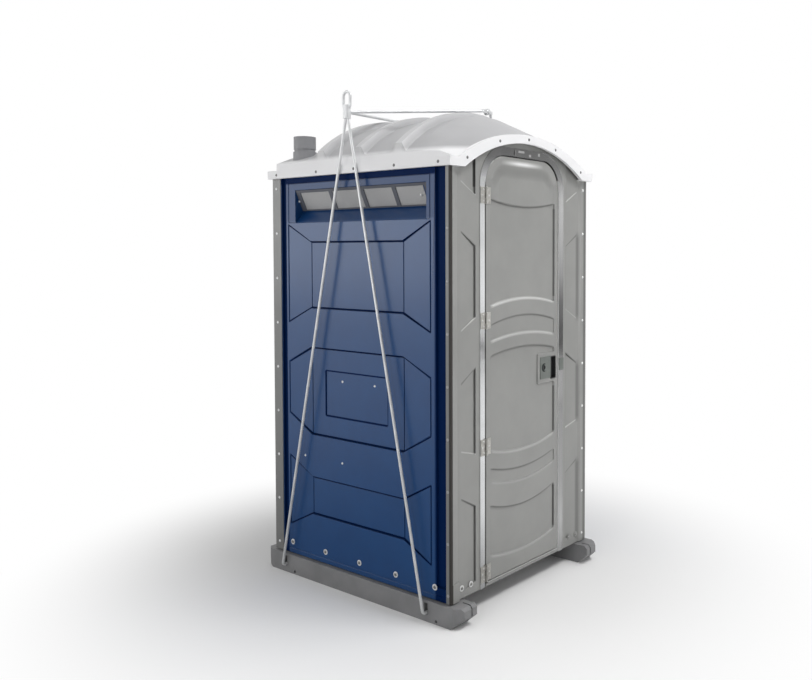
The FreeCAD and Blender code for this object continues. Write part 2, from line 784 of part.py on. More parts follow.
def flange(name, sign, y0, y1):
    low = side if sign > 0 else -side - flange_proud
    high = side + flange_proud if sign > 0 else -side
    return box(name, low, high, y0, y1, wall_bottom, rim_bottom - seat_gap)


def front_recess(name, low, high, corner, slope_foot):
    """What is taken off in front of the face, between the left corner and the right post."""
    step = 16
    return prism(name, "XY", low, high, [
        (corner, front - 1), (corner, front), (slope_foot, face), (side - 52 - step, face),
        (side - 52, face - right_post), (side + 1, face - right_post), (side + 1, front - 1)])


def make_front_panel():
    slab = prism("front_slab", "XZ", front, front_inner, panel_outline())
    corner_flange = flange("front_flange_left", -1, front, front + front_flange)
    solid = fuse("front_solid", slab, corner_flange)
    way = prism("front_way", "XZ", front - 5, front_inner + 5, doorway_outline(as_size(0), door_way_bottom))
    left = strip_fields("front_fields_left", face, 1, -1)
    right = strip_fields("front_fields_right", face, 1, 1)
    foot = -side + 6 + post_slope
    base = wall_bottom + 84
    recess = front_recess("front_recess", base, rim_bottom, -side + 6, foot)
    base_recess = front_recess("front_base_recess", wall_bottom - 1, base, foot - 2, foot)
    behind_rim = box("front_head_recess", -side - 1, side + 1, front - 1, face, rim_bottom, rim_top + 400)
    return cut("front_panel", solid, recess, base_recess, behind_rim, way, left, right)


node("front_panel", make_front_panel())


def make_rear_wall():
    slab = prism("rear_slab", "XZ", rear_inner, rear, panel_outline())
    flanges = [flange(f"rear_flange_{name}", sign, rear - rear_flange, rear)
               for name, sign in (("left", -1), ("right", 1))]
    solid = fuse("rear_solid", slab, *flanges)
    middle = []
    for _, top_end, top_mid, bottom_mid, bottom_end in FIELDS:
        middle.append([(-300, bottom_end), (-180, bottom_mid), (180, bottom_mid), (300, bottom_end),
                       (300, top_end), (180, top_mid), (-180, top_mid), (-300, top_end)])
    fields = prism("rear_fields", "XZ", rear - field_depth, rear + 1, middle)
    left = strip_fields("rear_fields_left", rear, -1, -1)
    right = strip_fields("rear_fields_right", rear, -1, 1)
    return cut("wall_rear", solid, fields, left, right, *rear_grooves())


node("wall_rear", make_rear_wall())


# Door frame: trim, lining and stop in one profile
def make_door_frame():
    def ring(name, low, high, outer, inner):
        whole = prism(name + "_whole", "XZ", low, high, doorway_outline(outer, wall_bottom))
        hole = prism(name + "_hole", "XZ", low - 1, high + 1, doorway_outline(inner, wall_bottom - 10))
        return cut(name, whole, hole)

    stop_face = face + door_thick + seat_gap
    trim = ring("frame_trim", face - trim_thick, face, trim_width, as_size(0) - lining_thick)
    lining = ring("frame_lining", face, stop_face + 3, as_size(-0.2), as_size(-0.2) - lining_thick)
    stop = ring("frame_stop", stop_face, stop_face + 3, as_size(-0.2), -stop_width)
    whole = fuse("frame_rings", trim, lining, stop)
    sill_gap = box("frame_sill_gap", -door_way, door_way, face - 0.01, stop_face + 10,
                   wall_bottom - 20, door_way_bottom)
    return cut("frame_whole", whole, sill_gap)


def make_frame_pieces():
    """The arched head and the two jambs that it stands on."""
    whole = make_door_frame()
    spring = door_way_top - corner_radius
    way = door_way
    spans = (("frame_head", -way, way, spring, door_way_top + 100),
             ("frame_jamb_left", -way, 0, wall_bottom - 20, spring),
             ("frame_jamb_right", 0, way, wall_bottom - 20, spring))
    for name, left, right, low, high in spans:
        part = box(name + "_span", left, right, front - 20, front_inner + 100, low, high)
        node(name, common(name, whole, part))


make_frame_pieces()
node("threshold", box("threshold", -door_way / 2 + lining_thick + 1, door_way / 2 - lining_thick - 1,
                      face - trim_thick, front_inner, door_way_bottom, door_way_bottom + 2.5))


# Roof: a ribbed vault, hips at both ends and a rim with arched ends
def roof_station(y, half, side_top, crown, base):
    left = V(-half, y, side_top)
    right = V(half, y, side_top)
    foot_left = V(-half, y, base)
    foot_right = V(half, y, base)
    return Part.Wire([
        Part.LineSegment(foot_left, left).toShape(),
        Part.Arc(left, V(0, y, crown), right).toShape(),
        Part.LineSegment(right, foot_right).toShape(),
        Part.LineSegment(foot_right, foot_left).toShape()])


def roof_stations(inset):
    """Stations from front to rear: place, half width, side height and crown height."""
    top = rim_top.value
    valley = (vault_half.value, top + curb_height.value, rib_crown.value - valley_drop.value)
    rib = (vault_half.value + 2, top + rib_side.value, rib_crown.value)
    platform = (vault_half.value, top + curb_height.value - 4, platform_crown.value)
    rim_crown = top + crest_rise.value
    hip_run = 84
    hip_share = hip_run / (vault_front.value - front.value)
    hip_crown = rim_crown + hip_share * (valley[2] - rim_crown)
    stations = [
        (front.value, crest_half.value, top + 1, rim_crown),
        (front.value + hip_run, vault_half.value - 2, top + 0.72 * curb_height.value, hip_crown),
        (vault_front.value, *valley)]
    for i in (-1, 0, 1):
        middle = rib_middle.value + i * rib_pitch.value
        stations += [
            (middle - rib_foot.value, *valley), (middle - rib_top.value, *rib),
            (middle + rib_top.value, *rib), (middle + rib_foot.value, *valley)]
    stations += [(vault_rear.value, *valley), (vault_rear.value + 55, *platform), (rear.value, *platform)]
    base = top - 16
    if inset:
        stations[-1] = (rear.value - inset, *platform)
    return [roof_station(y, half - inset, side_top - inset, crown - inset, base - inset * 4)
            for y, half, side_top, crown in stations]


def make_roof():
    sheet_thick = roof_shell.value
    outer = Part.makeLoft(roof_stations(0), True, True)
    inner = Part.makeLoft(roof_stations(sheet_thick), True, True)
    vault = feature("roof_vault", outer)
    hollow = feature("roof_hollow", inner)
    ledges = [box(f"roof_ledge_{name}", low, high, front, rear, rim_top - roof_shell, rim_top)
              for name, low, high in (("left", -side - rim_side, -vault_half + 20),
                                      ("right", vault_half - 20, side + rim_side))]
    lower = radius_of(arch_half, arch_rise)
    upper = radius_of(crest_half, crest_rise)
    edge = side + rim_side
    band = prism("rim_band", "XZ", front - rim_end, rear + rim_end, [
        (-edge, rim_bottom), (-arch_half, rim_bottom), arc(lower, arch_half, rim_bottom, False),
        (edge, rim_bottom), (edge, rim_top), (crest_half, rim_top),
        arc(upper, -crest_half, rim_top), (-edge, rim_top)])
    inside = box("rim_inside", -side, side, face, rear, rim_bottom - 50, rim_top + 400)
    rim = cut("roof_rim", band, inside)
    whole = fuse("roof_whole", vault, rim, *ledges)
    head = prism("roof_rear_head", "XZ", rear_inner - 1, rear, panel_outline())
    stack_hole = cylinder("roof_stack_hole", "Z", stack_x, stack_y, rim_top - 100,
                          stack_radius + 1.5, 400)
    return cut("roof", whole, hollow, head, stack_hole)


node("roof", make_roof())


# Vent stack and its collar on the roof
def make_stack():
    body = new_body("vent_stack")
    pad(body, "XY", deck_top, stack_top, circle(stack_x, stack_y, stack_radius))
    pocket(body, "XY", deck_top, stack_top, circle(stack_x, stack_y, stack_radius - stack_wall))
    return body


def make_stack_head():
    """The sleeve round the stack's open end."""
    body = new_body("stack_head")
    low = stack_top - head_length
    pad(body, "XY", low, stack_top, circle(stack_x, stack_y, head_radius))
    pocket(body, "XY", low, stack_top, circle(stack_x, stack_y, stack_radius + run_gap))
    return body


node("vent_stack", make_stack())
node("stack_head", make_stack_head())


def rear_platform_height(x):
    """Height of the rear platform's surface at a place along X."""
    half = vault_half.value
    side_top = rim_top.value + curb_height.value - 4
    rise = platform_crown.value - side_top
    radius = (half * half + rise * rise) / (2 * rise)
    return side_top + rise - radius + math.sqrt(radius * radius - x * x)


def make_collar():
    """A ring round the stack that follows the sloping roof."""
    radius = stack_radius.value
    low = rear_platform_height(stack_x.value - radius - 16)
    high = rear_platform_height(stack_x.value + radius + 16)
    centre = V(stack_x.value, stack_y.value, low - 30)
    ring = Part.makeCylinder(radius + 6, high - low + 30 + 3, centre)
    bore = Part.makeCylinder(radius + run_gap.value, 400, centre - V(0, 0, 100))
    roof_below = doc.getObject("roof_vault").Shape
    return ring.cut(bore).cut(roof_below)


doc.recompute()
node("stack_collar", feature("stack_collar", make_collar()))


# Hinges
hinge_x = -door_way / 2 + door_gap - 1
hinge_y = face - trim_thick - knuckle_radius - seat_gap


def make_hinges():
    frames = []
    doors = []
    pins = []
    frame_screws = []
    door_screws = []
    third = hinge_height / 3
    knuckle_gap = 0.3
    for i, middle in enumerate(HINGE_HEIGHTS):
        low = middle - hinge_height / 2
        bore = cylinder(f"hinge_bore_{i}", "Z", hinge_x, hinge_y, low - 1, pin_radius + run_gap,
                        hinge_height + 2)
        frame_leaf = box(f"frame_leaf_plate_{i}", hinge_x - hinge_leaf, hinge_x - 2,
                         face - trim_thick - leaf_thick, face - trim_thick, low, low + hinge_height)
        frame_knuckles = [cylinder(f"frame_knuckle_{i}_{k}", "Z", hinge_x, hinge_y, low + third * 2 * k,
                                   knuckle_radius, third - knuckle_gap + knuckle_gap * k)
                          for k in (0, 1)]
        gap = box(f"frame_leaf_gap_{i}", hinge_x - knuckle_radius - 1, hinge_x + 5, hinge_y - 20, face,
                  low + third - knuckle_gap, low + third * 2)
        frame_solid = cut(f"frame_leaf_plain_{i}", fuse(f"frame_leaf_raw_{i}", frame_leaf, *frame_knuckles), gap)
        frames.append(cut(f"frame_leaf_{i}", frame_solid, bore))
        door_leaf = box(f"door_leaf_plate_{i}", hinge_x + 3, hinge_x + hinge_leaf, face - leaf_thick,
                        face, low, low + hinge_height)
        door_web = box(f"door_leaf_web_{i}", hinge_x, hinge_x + 3 + leaf_thick, hinge_y, face,
                       low + third + knuckle_gap, low + third * 2 - knuckle_gap)
        door_knuckle = cylinder(f"door_knuckle_{i}", "Z", hinge_x, hinge_y, low + third + knuckle_gap,
                                knuckle_radius, third - knuckle_gap * 2)
        doors.append(cut(f"door_leaf_{i}", fuse(f"door_leaf_raw_{i}", door_leaf, door_web, door_knuckle),
                         cylinder(f"door_bore_{i}", "Z", hinge_x, hinge_y, low - 1, pin_radius + run_gap,
                                  hinge_height + 2)))
        pins.append(cylinder(f"hinge_pin_{i}", "Z", hinge_x, hinge_y, low - 2, pin_radius, hinge_height + 4))
        for k, (rise, inset) in enumerate(((-26, 17), (0, 26), (26, 17))):
            frame_screws.append(stud(f"frame_screw_{i}_{k}", "-Y", hinge_x - inset,
                                     face - trim_thick - leaf_thick, middle + rise, 4.5, 3, 1.6))
            door_screws.append(stud(f"door_screw_{i}_{k}", "-Y", hinge_x + inset, face - leaf_thick,
                                    middle + rise, 4.5, 3, 1.6))
    return frames, doors, pins, frame_screws, door_screws


frame_leaves, door_leaves, hinge_pin_list, frame_leaf_screws, door_leaf_screws = make_hinges()
node("hinge_frame_leaves", group("hinge_frame_leaves", frame_leaves))
node("hinge_door_leaves", group("hinge_door_leaves", door_leaves))
node("hinge_pins", group("hinge_pins", hinge_pin_list))
node("hinge_frame_screws", group("hinge_frame_screws", frame_leaf_screws))
node("hinge_door_screws", group("hinge_door_screws", door_leaf_screws))


# Door
door_half = door_way / 2 - lining_thick - door_gap
door_bottom = door_way_bottom + 5
door_top = door_way_top - lining_thick - door_gap
door_back = face + door_thick
case_bore = spindle_radius + run_gap


def bowed(half, end, middle, to_right):
    """An arc across the door, from one side to the other, between its end and middle heights."""
    rise = as_size(middle) - as_size(end)
    flat = rise.value < 0
    radius = radius_of(half, -rise if flat else rise)
    x = half if to_right else -half
    left = flat if to_right else not flat
    return arc(radius, x, end, left)


def door_band(half, low_end, low_middle, high_end, high_middle):
    return [(-half, low_end), bowed(half, low_end, low_middle, True), (half, high_end),
            bowed(half, high_end, high_middle, False)]


def make_door():
    body = new_body("door")
    radius = corner_radius - door_gap
    pad(body, "XZ", face, door_back, [
        (-door_half, door_bottom), (door_half, door_bottom), (door_half, door_top - radius),
        arc(radius, door_half - radius, door_top), (-door_half + radius, door_top),
        arc(radius, -door_half, door_top - radius)])
    half = door_half - door_rim
    pocket(body, "XZ", face, face + door_field, [
        door_band(half, 1395, 1426, 1884, 1858), door_band(half, 235, 205, 466, 422)])
    pocket(body, "XZ", face, face + groove_field, [
        door_band(half, 1232, 1259, 1303, 1340), door_band(half, 583, 545, 640, 603)])
    island = latch_x - latch_plate_w / 2 - 6
    pocket(body, "XZ", face, face + door_field, [
        (-half, 727), bowed(half, 727, 693, True), (half, latch_z - 80), (island, latch_z - 80),
        (island, latch_z + 72), (half, latch_z + 72), (half, 1160), bowed(half, 1160, 1188, False)])
    cup = rectangle(pull_x0, pull_x1, pull_z0, pull_z1)
    pocket(body, "XZ", face, face + pull_depth, cup)
    pocket(body, "XZ", face, face + 6, circle(latch_x, latch_z, window_radius))
    pocket(body, "XZ", face, door_back, circle(latch_x, latch_z, case_bore))
    return body


pull_x0 = latch_x + 61
pull_x1 = latch_x + 107
pull_z0 = latch_z - 62
pull_z1 = latch_z + 49
pull_depth = as_size(22)
node("door", make_door())


# Latch
def make_latch_plate():
    body = new_body("latch_plate")
    half = latch_plate_w / 2
    middle = latch_x + 13
    pad(body, "XZ", face - 3, face, rectangle(middle - half, middle + half, latch_z - 56,
                                                latch_z - 56 + latch_plate_tall))
    pocket(body, "XZ", face - 3, face, circle(latch_x, latch_z, window_radius - 2))
    return body


node("latch_plate", make_latch_plate())


def make_pull_cup():
    body = new_body("pull_cup")
    wall = 2
    pad(body, "XZ", face, face + pull_depth, rectangle(pull_x0, pull_x1, pull_z0, pull_z1))
    pocket(body, "XZ", face, face + pull_depth - wall,
           rectangle(pull_x0 + wall, pull_x1 - wall, pull_z0 + wall, pull_z1 - wall))
    return body


node("pull_cup", make_pull_cup())

case_front = door_back
case_back = door_back + 26
bolt_low = door_back + 8
bolt_high = door_back + 18
bolt_half = as_size(9)


def make_latch_case():
    body = new_body("latch_case")
    pad(body, "XZ", case_front, case_back, rectangle(latch_x - 32, case_end, latch_z - 26, latch_z + 26))
    pocket(body, "XZ", case_front, case_back, circle(latch_x, latch_z, case_bore))
    pocket(body, "YZ", latch_x + 22, case_end, rectangle(
        bolt_low - seat_gap, bolt_high + seat_gap, latch_z - bolt_half - seat_gap,
        latch_z + bolt_half + seat_gap))
    return body


node("latch_case", make_latch_case())


def make_latch_knob():
    body = new_body("latch_knob")
    pad(body, "XZ", face + 1.5, face + 4.5, circle(latch_x, latch_z, window_radius - seat_gap))
    pad(body, "XZ", face + 4.5, case_back + 4, circle(latch_x, latch_z, spindle_radius))
    pad(body, "XZ", case_back + 1, case_back + 10, circle(latch_x, latch_z, as_size(20)))
    pad(body, "XZ", case_back + 10, case_back + 26, rectangle(latch_x - 6, latch_x + 6, latch_z - 20, latch_z + 20))
    return body


node("latch_knob", make_latch_knob())
node("latch_bolt", box("latch_bolt", latch_x + 26, case_end + 2, bolt_low, bolt_high,
                       latch_z - bolt_half, latch_z + bolt_half))
node("strike_plate", box("strike_plate", door_way / 2, door_way / 2 + trim_width, face - trim_thick - 3,
                         face - trim_thick, latch_z - 26, latch_z + 34))
node("header_bracket", box("header_bracket", -80, 120, face - trim_thick - 5, face - trim_thick,
                           door_way_top + 4, door_way_top + 28))


# Tank, deck and seat
hose_x = -side_inner + 60
hose_y = tank_front + 34


def make_tank():
    body = new_body("holding_tank")
    under_deck = deck_top - deck_thick
    back = rear_inner - pan_rim_thick
    pad(body, "XY", floor_top, under_deck, rectangle(-tank_half, tank_half, tank_front, back))
    pocket(body, "XY", floor_top + tank_wall, under_deck, rectangle(
        -tank_half + tank_wall, tank_half - tank_wall, tank_front + tank_wall, back - tank_wall))
    return body


node("holding_tank", make_tank())


def make_deck():
    body = new_body("seat_deck")
    half = tank_half + 12
    pad(body, "XY", deck_top - deck_thick, deck_top, rectangle(-half, half, tank_front - 24, rear_inner))
    pocket(body, "XY", deck_top - deck_thick, deck_top, [
        circle(0, seat_y, hole_radius), circle(stack_x, stack_y, stack_radius - stack_wall),
        circle(hose_x, hose_y, hose_radius - 3)])
    return body


node("seat_deck", make_deck())


seat_hinge_y = seat_y + seat_half + seat_straight + 10
seat_hinge_z = deck_top + 15
seat_pin_radius = as_size(4)
seat_lug_x = as_size(82)


def seat_outline(half, straight, middle):
    return [(-half, middle - straight), arc(half * 1.0001, half, middle - straight),
            (half, middle + straight), arc(half * 1.0001, -half, middle + straight)]


def hinge_eye(middle_y, middle_z, foot_y, foot_z, top_z):
    """Side view of a hinge lug: a foot with a rounded end about the pin."""
    radius = 8
    return [(foot_y, foot_z), (middle_y, middle_z - radius), arc(radius * 1.0001, middle_y, middle_z + radius),
            (foot_y, top_z)]


def make_seat():
    body = new_body("toilet_seat")
    low = deck_top + seat_gap
    pad(body, "XY", low, low + seat_thick, seat_outline(seat_half, seat_straight, seat_y))
    pocket(body, "XY", low, low + seat_thick, seat_outline(seat_half - ring_width, seat_straight, seat_y))
    for sign in (-1, 1):
        inner = sign * seat_lug_x - 6
        lug = hinge_eye(seat_hinge_y, seat_hinge_z, seat_hinge_y - 56, low + 3, low + seat_thick)
        pad(body, "YZ", inner, inner + 12, lug)
    pocket(body, "YZ", -seat_lug_x - 10, seat_lug_x + 10,
           circle(seat_hinge_y, seat_hinge_z, seat_pin_radius + run_gap))
    return body


node("toilet_seat", make_seat())


def make_seat_hinges():
    """Brackets on the deck, outside the seat's lugs."""
    brackets = []
    for i, sign in enumerate((-1, 1)):
        middle = sign * (seat_lug_x + 13)
        plate = box(f"seat_bracket_plate_{i}", middle - 6, middle + 6, seat_hinge_y - 9, seat_hinge_y + 9,
                    deck_top, seat_hinge_z + 8)
        bore = cylinder(f"seat_bracket_bore_{i}", "X", middle - 8, seat_hinge_y, seat_hinge_z,
                        seat_pin_radius + run_gap, 16)
        brackets.append(cut(f"seat_bracket_{i}", plate, bore))
    return brackets


node("seat_hinges", group("seat_hinges", make_seat_hinges()))
node("seat_pins", group("seat_pins", [
    cylinder(f"seat_pin_{i}", "X", low, seat_hinge_y, seat_hinge_z, seat_pin_radius, 29)
    for i, low in enumerate((-seat_lug_x - 21, seat_lug_x - 8))]))


# Urinal, hose and paper holder
def make_urinal():
    back = -side_inner
    reach = back + urinal_reach
    low = urinal_bottom
    outer = prism("urinal_outer", "XZ", urinal_y - urinal_half, urinal_y + urinal_half, [
        (back, low + 20), (back + 36, low), (back + 84, low), (reach, urinal_lip - 60), (reach, urinal_lip),
        (back + 20, urinal_top), (back, urinal_top)])
    wall = urinal_wall
    inner = prism("urinal_inner", "XZ", urinal_y - urinal_half + wall, urinal_y + urinal_half - wall, [
        (back + wall, low + 20 + wall), (back + 36, low + wall), (back + 84, low + wall),
        (reach - wall, urinal_lip - 60 + wall),
        (reach - wall, urinal_lip + 60), (back + 60, urinal_top + 60), (back + wall, urinal_top + 60)])
    shell = cut("urinal_shell", outer, inner)
    drain = cylinder("urinal_drain", "Z", back + 60, urinal_y, low - 30, hose_radius - 3, 60)
    return cut("urinal", shell, drain)


node("urinal", make_urinal())


def make_hose():
    """From the urinal's outlet down the wall and back into the deck."""
    x = hose_x.value
    y = urinal_y.value
    top = urinal_bottom.value - 0.3
    level = 530
    into = hose_y.value
    points = [V(x, y, top), V(x, y, level), V(x, into, level), V(x, into, deck_top.value)]
    outer = rod_shape(points, hose_radius.value, 45)
    inner = rod_shape(points, hose_radius.value - 3, 45)
    return outer.cut(inner)


node("urinal_hose", feature("urinal_hose", make_hose()))


def make_paper_holder():
    body = new_body("paper_holder")
    back = -side_inner
    half = paper_width + 20
    pad(body, "XY", paper_z - 45, paper_z + 60, rectangle(back, back + 4, paper_y - half - 40, paper_y + half + 40))
    reach = back + 80
    cheeks = [rectangle(back, reach, y, y + 6) for y in (paper_y - half, paper_y + half - 6)]
    pad(body, "XY", paper_z - 30, paper_z + 30, cheeks)
    return body


node("paper_holder", make_paper_holder())
paper_x = -side_inner + 58
cheek = paper_width + 14
node("paper_bar", cylinder("paper_bar", "Y", paper_x, paper_y - cheek, paper_z, bar_radius, cheek * 2))


def make_roll(name, low):
    body = new_body(name)
    pad(body, "XZ", low, low + paper_width, circle(paper_x, paper_z, paper_radius))
    pocket(body, "XZ", low, low + paper_width, circle(paper_x, paper_z, bar_radius + run_gap))
    return body


node("paper_roll_front", make_roll("paper_roll_front", paper_y - paper_width - 3))
node("paper_roll_rear", make_roll("paper_roll_rear", paper_y + 3))


# Coat hook
def make_coat_hook():
    x = side_inner.value
    y = -300
    z = 1650
    plate = Part.makeBox(4, 30, 60, V(x - 4, y - 15, z - 30))
    hook = rod_shape([V(x - 2, y, z), V(x - 48, y, z), V(x - 62, y, z + 36)], 5, 12)
    return plate.fuse(hook)


node("coat_hook", feature("coat_hook", make_coat_hook()))


# Fasteners
def make_corner_rivets():
    heads = []
    flange_face = side + flange_proud
    front_heights = [137 + i * (1748 - 137) / 7 for i in range(8)]
    rear_heights = [141 + i * (1966 - 141) / 8 for i in range(9)]
    for i, z in enumerate(front_heights):
        heads.append(stud(f"rivet_front_left_{i}", "-X", -flange_face, front + front_flange - 10, z, 7, 4, 3))
    for i, z in enumerate(rear_heights):
        heads.append(stud(f"rivet_rear_left_{i}", "-X", -flange_face, rear - 30, z, 7, 4, 3))
        heads.append(stud(f"rivet_rear_right_{i}", "X", flange_face, rear - 30, z, 7, 4, 3))
        heads.append(stud(f"rivet_front_right_{i}", "-Y", side - 33, face - right_post, z, 7, 4, 3))
    return heads


node("corner_rivets", group("corner_rivets", make_corner_rivets()))


def make_roof_screws():
    heads = []
    face = side + rim_side
    end = -front + rim_end
    lower = radius_of(arch_half, arch_rise)
    upper = radius_of(crest_half, crest_rise)
    for i, x in enumerate((-460, -226, 0, 226, 460)):
        low = rim_bottom + arch_rise - lower + root_of(lower * lower - x * x)
        high = rim_top + crest_rise - upper + root_of(upper * upper - x * x)
        z = (low + high) / 2
        heads.append(stud(f"rim_screw_front_{i}", "-Y", x, -end, z, 7, 4, 3))
        heads.append(stud(f"rim_screw_rear_{i}", "Y", x, end, z, 7, 4, 3))
    for i, y in enumerate((-550, -285, -20, 245, 550)):
        heads.append(stud(f"rim_screw_left_{i}", "-X", -face, y, rim_bottom + 18, 7, 4, 3))
        heads.append(stud(f"rim_screw_right_{i}", "X", face, y, rim_bottom + 18, 7, 4, 3))
    return heads


node("roof_screws", group("roof_screws", make_roof_screws()))


def bolt_with_washer(name, axis, x, y, z):
    sign = {"X": (1, 0), "-X": (-1, 0), "Y": (0, 1), "-Y": (0, -1)}[axis]
    washer = cylinder(name + "_washer", axis, x, y, z, 14, 2)
    head = stud(name + "_head", axis, x + 2 * sign[0], y + 2 * sign[1], z, 8, 5, 4)
    return fuse(name, washer, head)


def make_base_bolts():
    bolts = []
    z = 158
    for i, y in enumerate((-506, -264, -22, 220, 470)):
        bolts.append(bolt_with_washer(f"base_bolt_left_{i}", "-X", -side, y, z))
        bolts.append(bolt_with_washer(f"base_bolt_right_{i}", "X", side, y, z))
    for i, x in enumerate((-468, -404, 404, 468)):
        bolts.append(bolt_with_washer(f"base_bolt_front_{i}", "-Y", x, face, 146))
    for i, x in enumerate((-400, 0, 400)):
        bolts.append(bolt_with_washer(f"base_bolt_rear_{i}", "Y", x, rear, z))
    return bolts


node("base_bolts", group("base_bolts", make_base_bolts()))


def make_wall_screws():
    """Screws through the side walls into what hangs inside, and into the vent frames."""
    screws = []
    in_plate = -side + field_depth + plate_depth
    places = ((in_plate, 102, 1015), (in_plate, -120, 1015), (-side, 368, 620), (-side, 94, 620))
    for i, (x, y, z) in enumerate(places):
        screws.append(stud(f"wall_screw_left_{i}", "-X", x, y, z, 6, 4, 2.5))
    for i, (x, y, z) in enumerate(places[:2]):
        screws.append(stud(f"wall_screw_right_{i}", "X", -x, y, z, 6, 4, 2.5))
    return screws


node("wall_screws", group("wall_screws", make_wall_screws()))


# Lifting sling
def sling_legs_left():
    legs = []
    collar = Part.makeCylinder(18, 64, V(apex_x.value, apex_y.value, apex_z.value - 41))
    apex = V(apex_x.value, apex_y.value, apex_z.value - 4)
    for name, y in (("front", hook_front.value), ("rear", hook_rear.value)):
        foot = V(-foot_x.value, y, hook_height.value)
        stub = foot + V(34, 0, 0)
        leg = rod_shape([stub, foot, apex], rod_radius.value, 15).cut(collar)
        legs.append(node(f"sling_leg_left_{name}", feature(f"sling_leg_left_{name}", leg)))
    return collar


sling_collar = sling_legs_left()
node("sling_collar", feature("sling_collar", sling_collar))


def make_ring():
    """An upright link whose foot is held in the collar."""
    radius = rod_radius.value
    half = ring_half.value - radius
    top = ring_top.value - ring_half.value
    bottom = apex_z.value + 6 + half
    x = apex_x.value
    y = apex_y.value
    edges = [
        Part.LineSegment(V(x, y - half, bottom), V(x, y - half, top)).toShape(),
        Part.Arc(V(x, y - half, top), V(x, y, top + half), V(x, y + half, top)).toShape(),
        Part.LineSegment(V(x, y + half, top), V(x, y + half, bottom)).toShape(),
        Part.Arc(V(x, y + half, bottom), V(x, y, bottom - half), V(x, y - half, bottom)).toShape()]
    section = Part.Wire([Part.Circle(V(x, y - half, bottom), V(0, 0, 1), radius).toShape()])
    ring = Part.Wire(edges).makePipeShell([section], True, False)
    return ring.cut(sling_collar)


node("lift_ring", feature("lift_ring", make_ring()))


lug_reach = lug_radius.value + 20
lug_middle = rod_radius.value + seat_gap.value / 2
LUGS = (("front", lug_front.value, -1), ("rear", lug_rear.value, 1))


def lug_plate(joint_y, way, toward):
    """An eye with a boss at the joint's plane, a tongue that its rod is welded to, and its bore."""
    x = lug_x.value
    z = lug_z.value
    radius = lug_radius.value
    thick = lug_thick.value
    length = 50
    across = V(0, way, 0)
    near = joint_y + way * (lug_middle - thick / 2)
    plate = Part.makeCylinder(radius, thick, V(x, near, z), across)
    boss_from = joint_y + way * seat_gap.value / 2
    boss = Part.makeCylinder(radius - 6, abs(near - boss_from) + 1, V(x, boss_from, z), across)
    low_x = x if toward > 0 else x - length
    tongue = Part.makeBox(length, thick, radius, V(low_x, min(near, near + way * thick), z - radius / 2))
    bore = Part.makeCylinder(5 + run_gap.value, 40, V(x, joint_y - 20, z), V(0, 1, 0))
    return plate.fuse([boss, tongue]), bore


def make_roof_rods():
    """From the collar over the roof to the lugs."""
    for name, y, outward in LUGS:
        plate_y = y + outward * lug_middle
        start = V(apex_x.value, apex_y.value, apex_z.value - 10)
        rod = rod_shape([start, V(lug_x.value - lug_reach, plate_y, lug_z.value)], rod_radius.value, 10)
        eye, bore = lug_plate(y, outward, -1)
        shape = rod.fuse(eye).cut(bore).cut(sling_collar)
        node(f"roof_rod_{name}", feature(f"roof_rod_{name}", shape))


make_roof_rods()


def make_sling_pins():
    pins = []
    reach = lug_middle + lug_thick.value / 2 - seat_gap.value / 2
    for _, y, outward in LUGS:
        inner = y + outward * seat_gap.value / 2
        way = V(0, outward, 0)
        shank = Part.makeCylinder(5, reach, V(lug_x.value, inner, lug_z.value), way)
        head = Part.makeCylinder(9, 5, V(lug_x.value, inner + outward * reach, lug_z.value), way)
        pins.append(shank.fuse(head))
    return Part.makeCompound(pins)


node("sling_pins", feature("sling_pins", make_sling_pins()))


def make_right_legs():
    """From the lugs over a rib, down the far side of the roof to the right skid."""
    feet = (hook_front.value, hook_rear.value)
    eaves = (eave_front.value, eave_rear.value)
    over_rib = V(lug_x.value + 61, 0, lug_z.value - 19)
    past_rib = V(lug_x.value + 121, 0, lug_z.value - 48)
    for (name, lug_y, outward), foot_y, eave_y in zip(LUGS, feet, eaves):
        plate_y = lug_y - outward * lug_middle
        foot = V(foot_x.value, foot_y, hook_height.value)
        stub = foot - V(34, 0, 0)
        eave = V(eave_x.value, eave_y, eave_z.value)
        end = V(lug_x.value + lug_reach, plate_y, lug_z.value)
        over = over_rib + V(0, plate_y + 0.25 * (eave_y - plate_y), 0)
        past = past_rib + V(0, eave_y, 0)
        leg = rod_shape([stub, foot, eave, past, over, end], rod_radius.value, 15)
        eye, bore = lug_plate(lug_y, -outward, 1)
        node(f"sling_leg_right_{name}", feature(f"sling_leg_right_{name}", leg.fuse(eye).cut(bore)))


make_right_legs()

# Check and write
doc.recompute()
faults = []
for item in doc.Objects:
    if "Invalid" in item.State or "Error" in item.State:
        faults.append(f"{item.Name}: {item.State}")
for item in nodes:
    if item.Shape.isNull() or not item.Shape.isValid():
        faults.append(f"{item.Label}: bad shape")
if faults:
    raise RuntimeError("; ".join(faults))
os.makedirs("parts", exist_ok=True)
for item in nodes:
    item.Shape.exportStep(f"parts/{item.Label}.step")
    bounds = item.Shape.BoundBox
    print(f"{item.Label}: {len(item.Shape.Solids)} solids, {len(item.Shape.Faces)} faces, "
          f"{item.Shape.Volume / 1000:.0f} cm3, x {bounds.XMin:.1f} {bounds.XMax:.1f}, "
          f"y {bounds.YMin:.1f} {bounds.YMax:.1f}, z {bounds.ZMin:.1f} {bounds.ZMax:.1f}")
print(len(nodes), "nodes")
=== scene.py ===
"""Looks of the portable toilet cabin: moulded sheets, bright trim, galvanised sling, studio."""

import json
import math
from collections import namedtuple

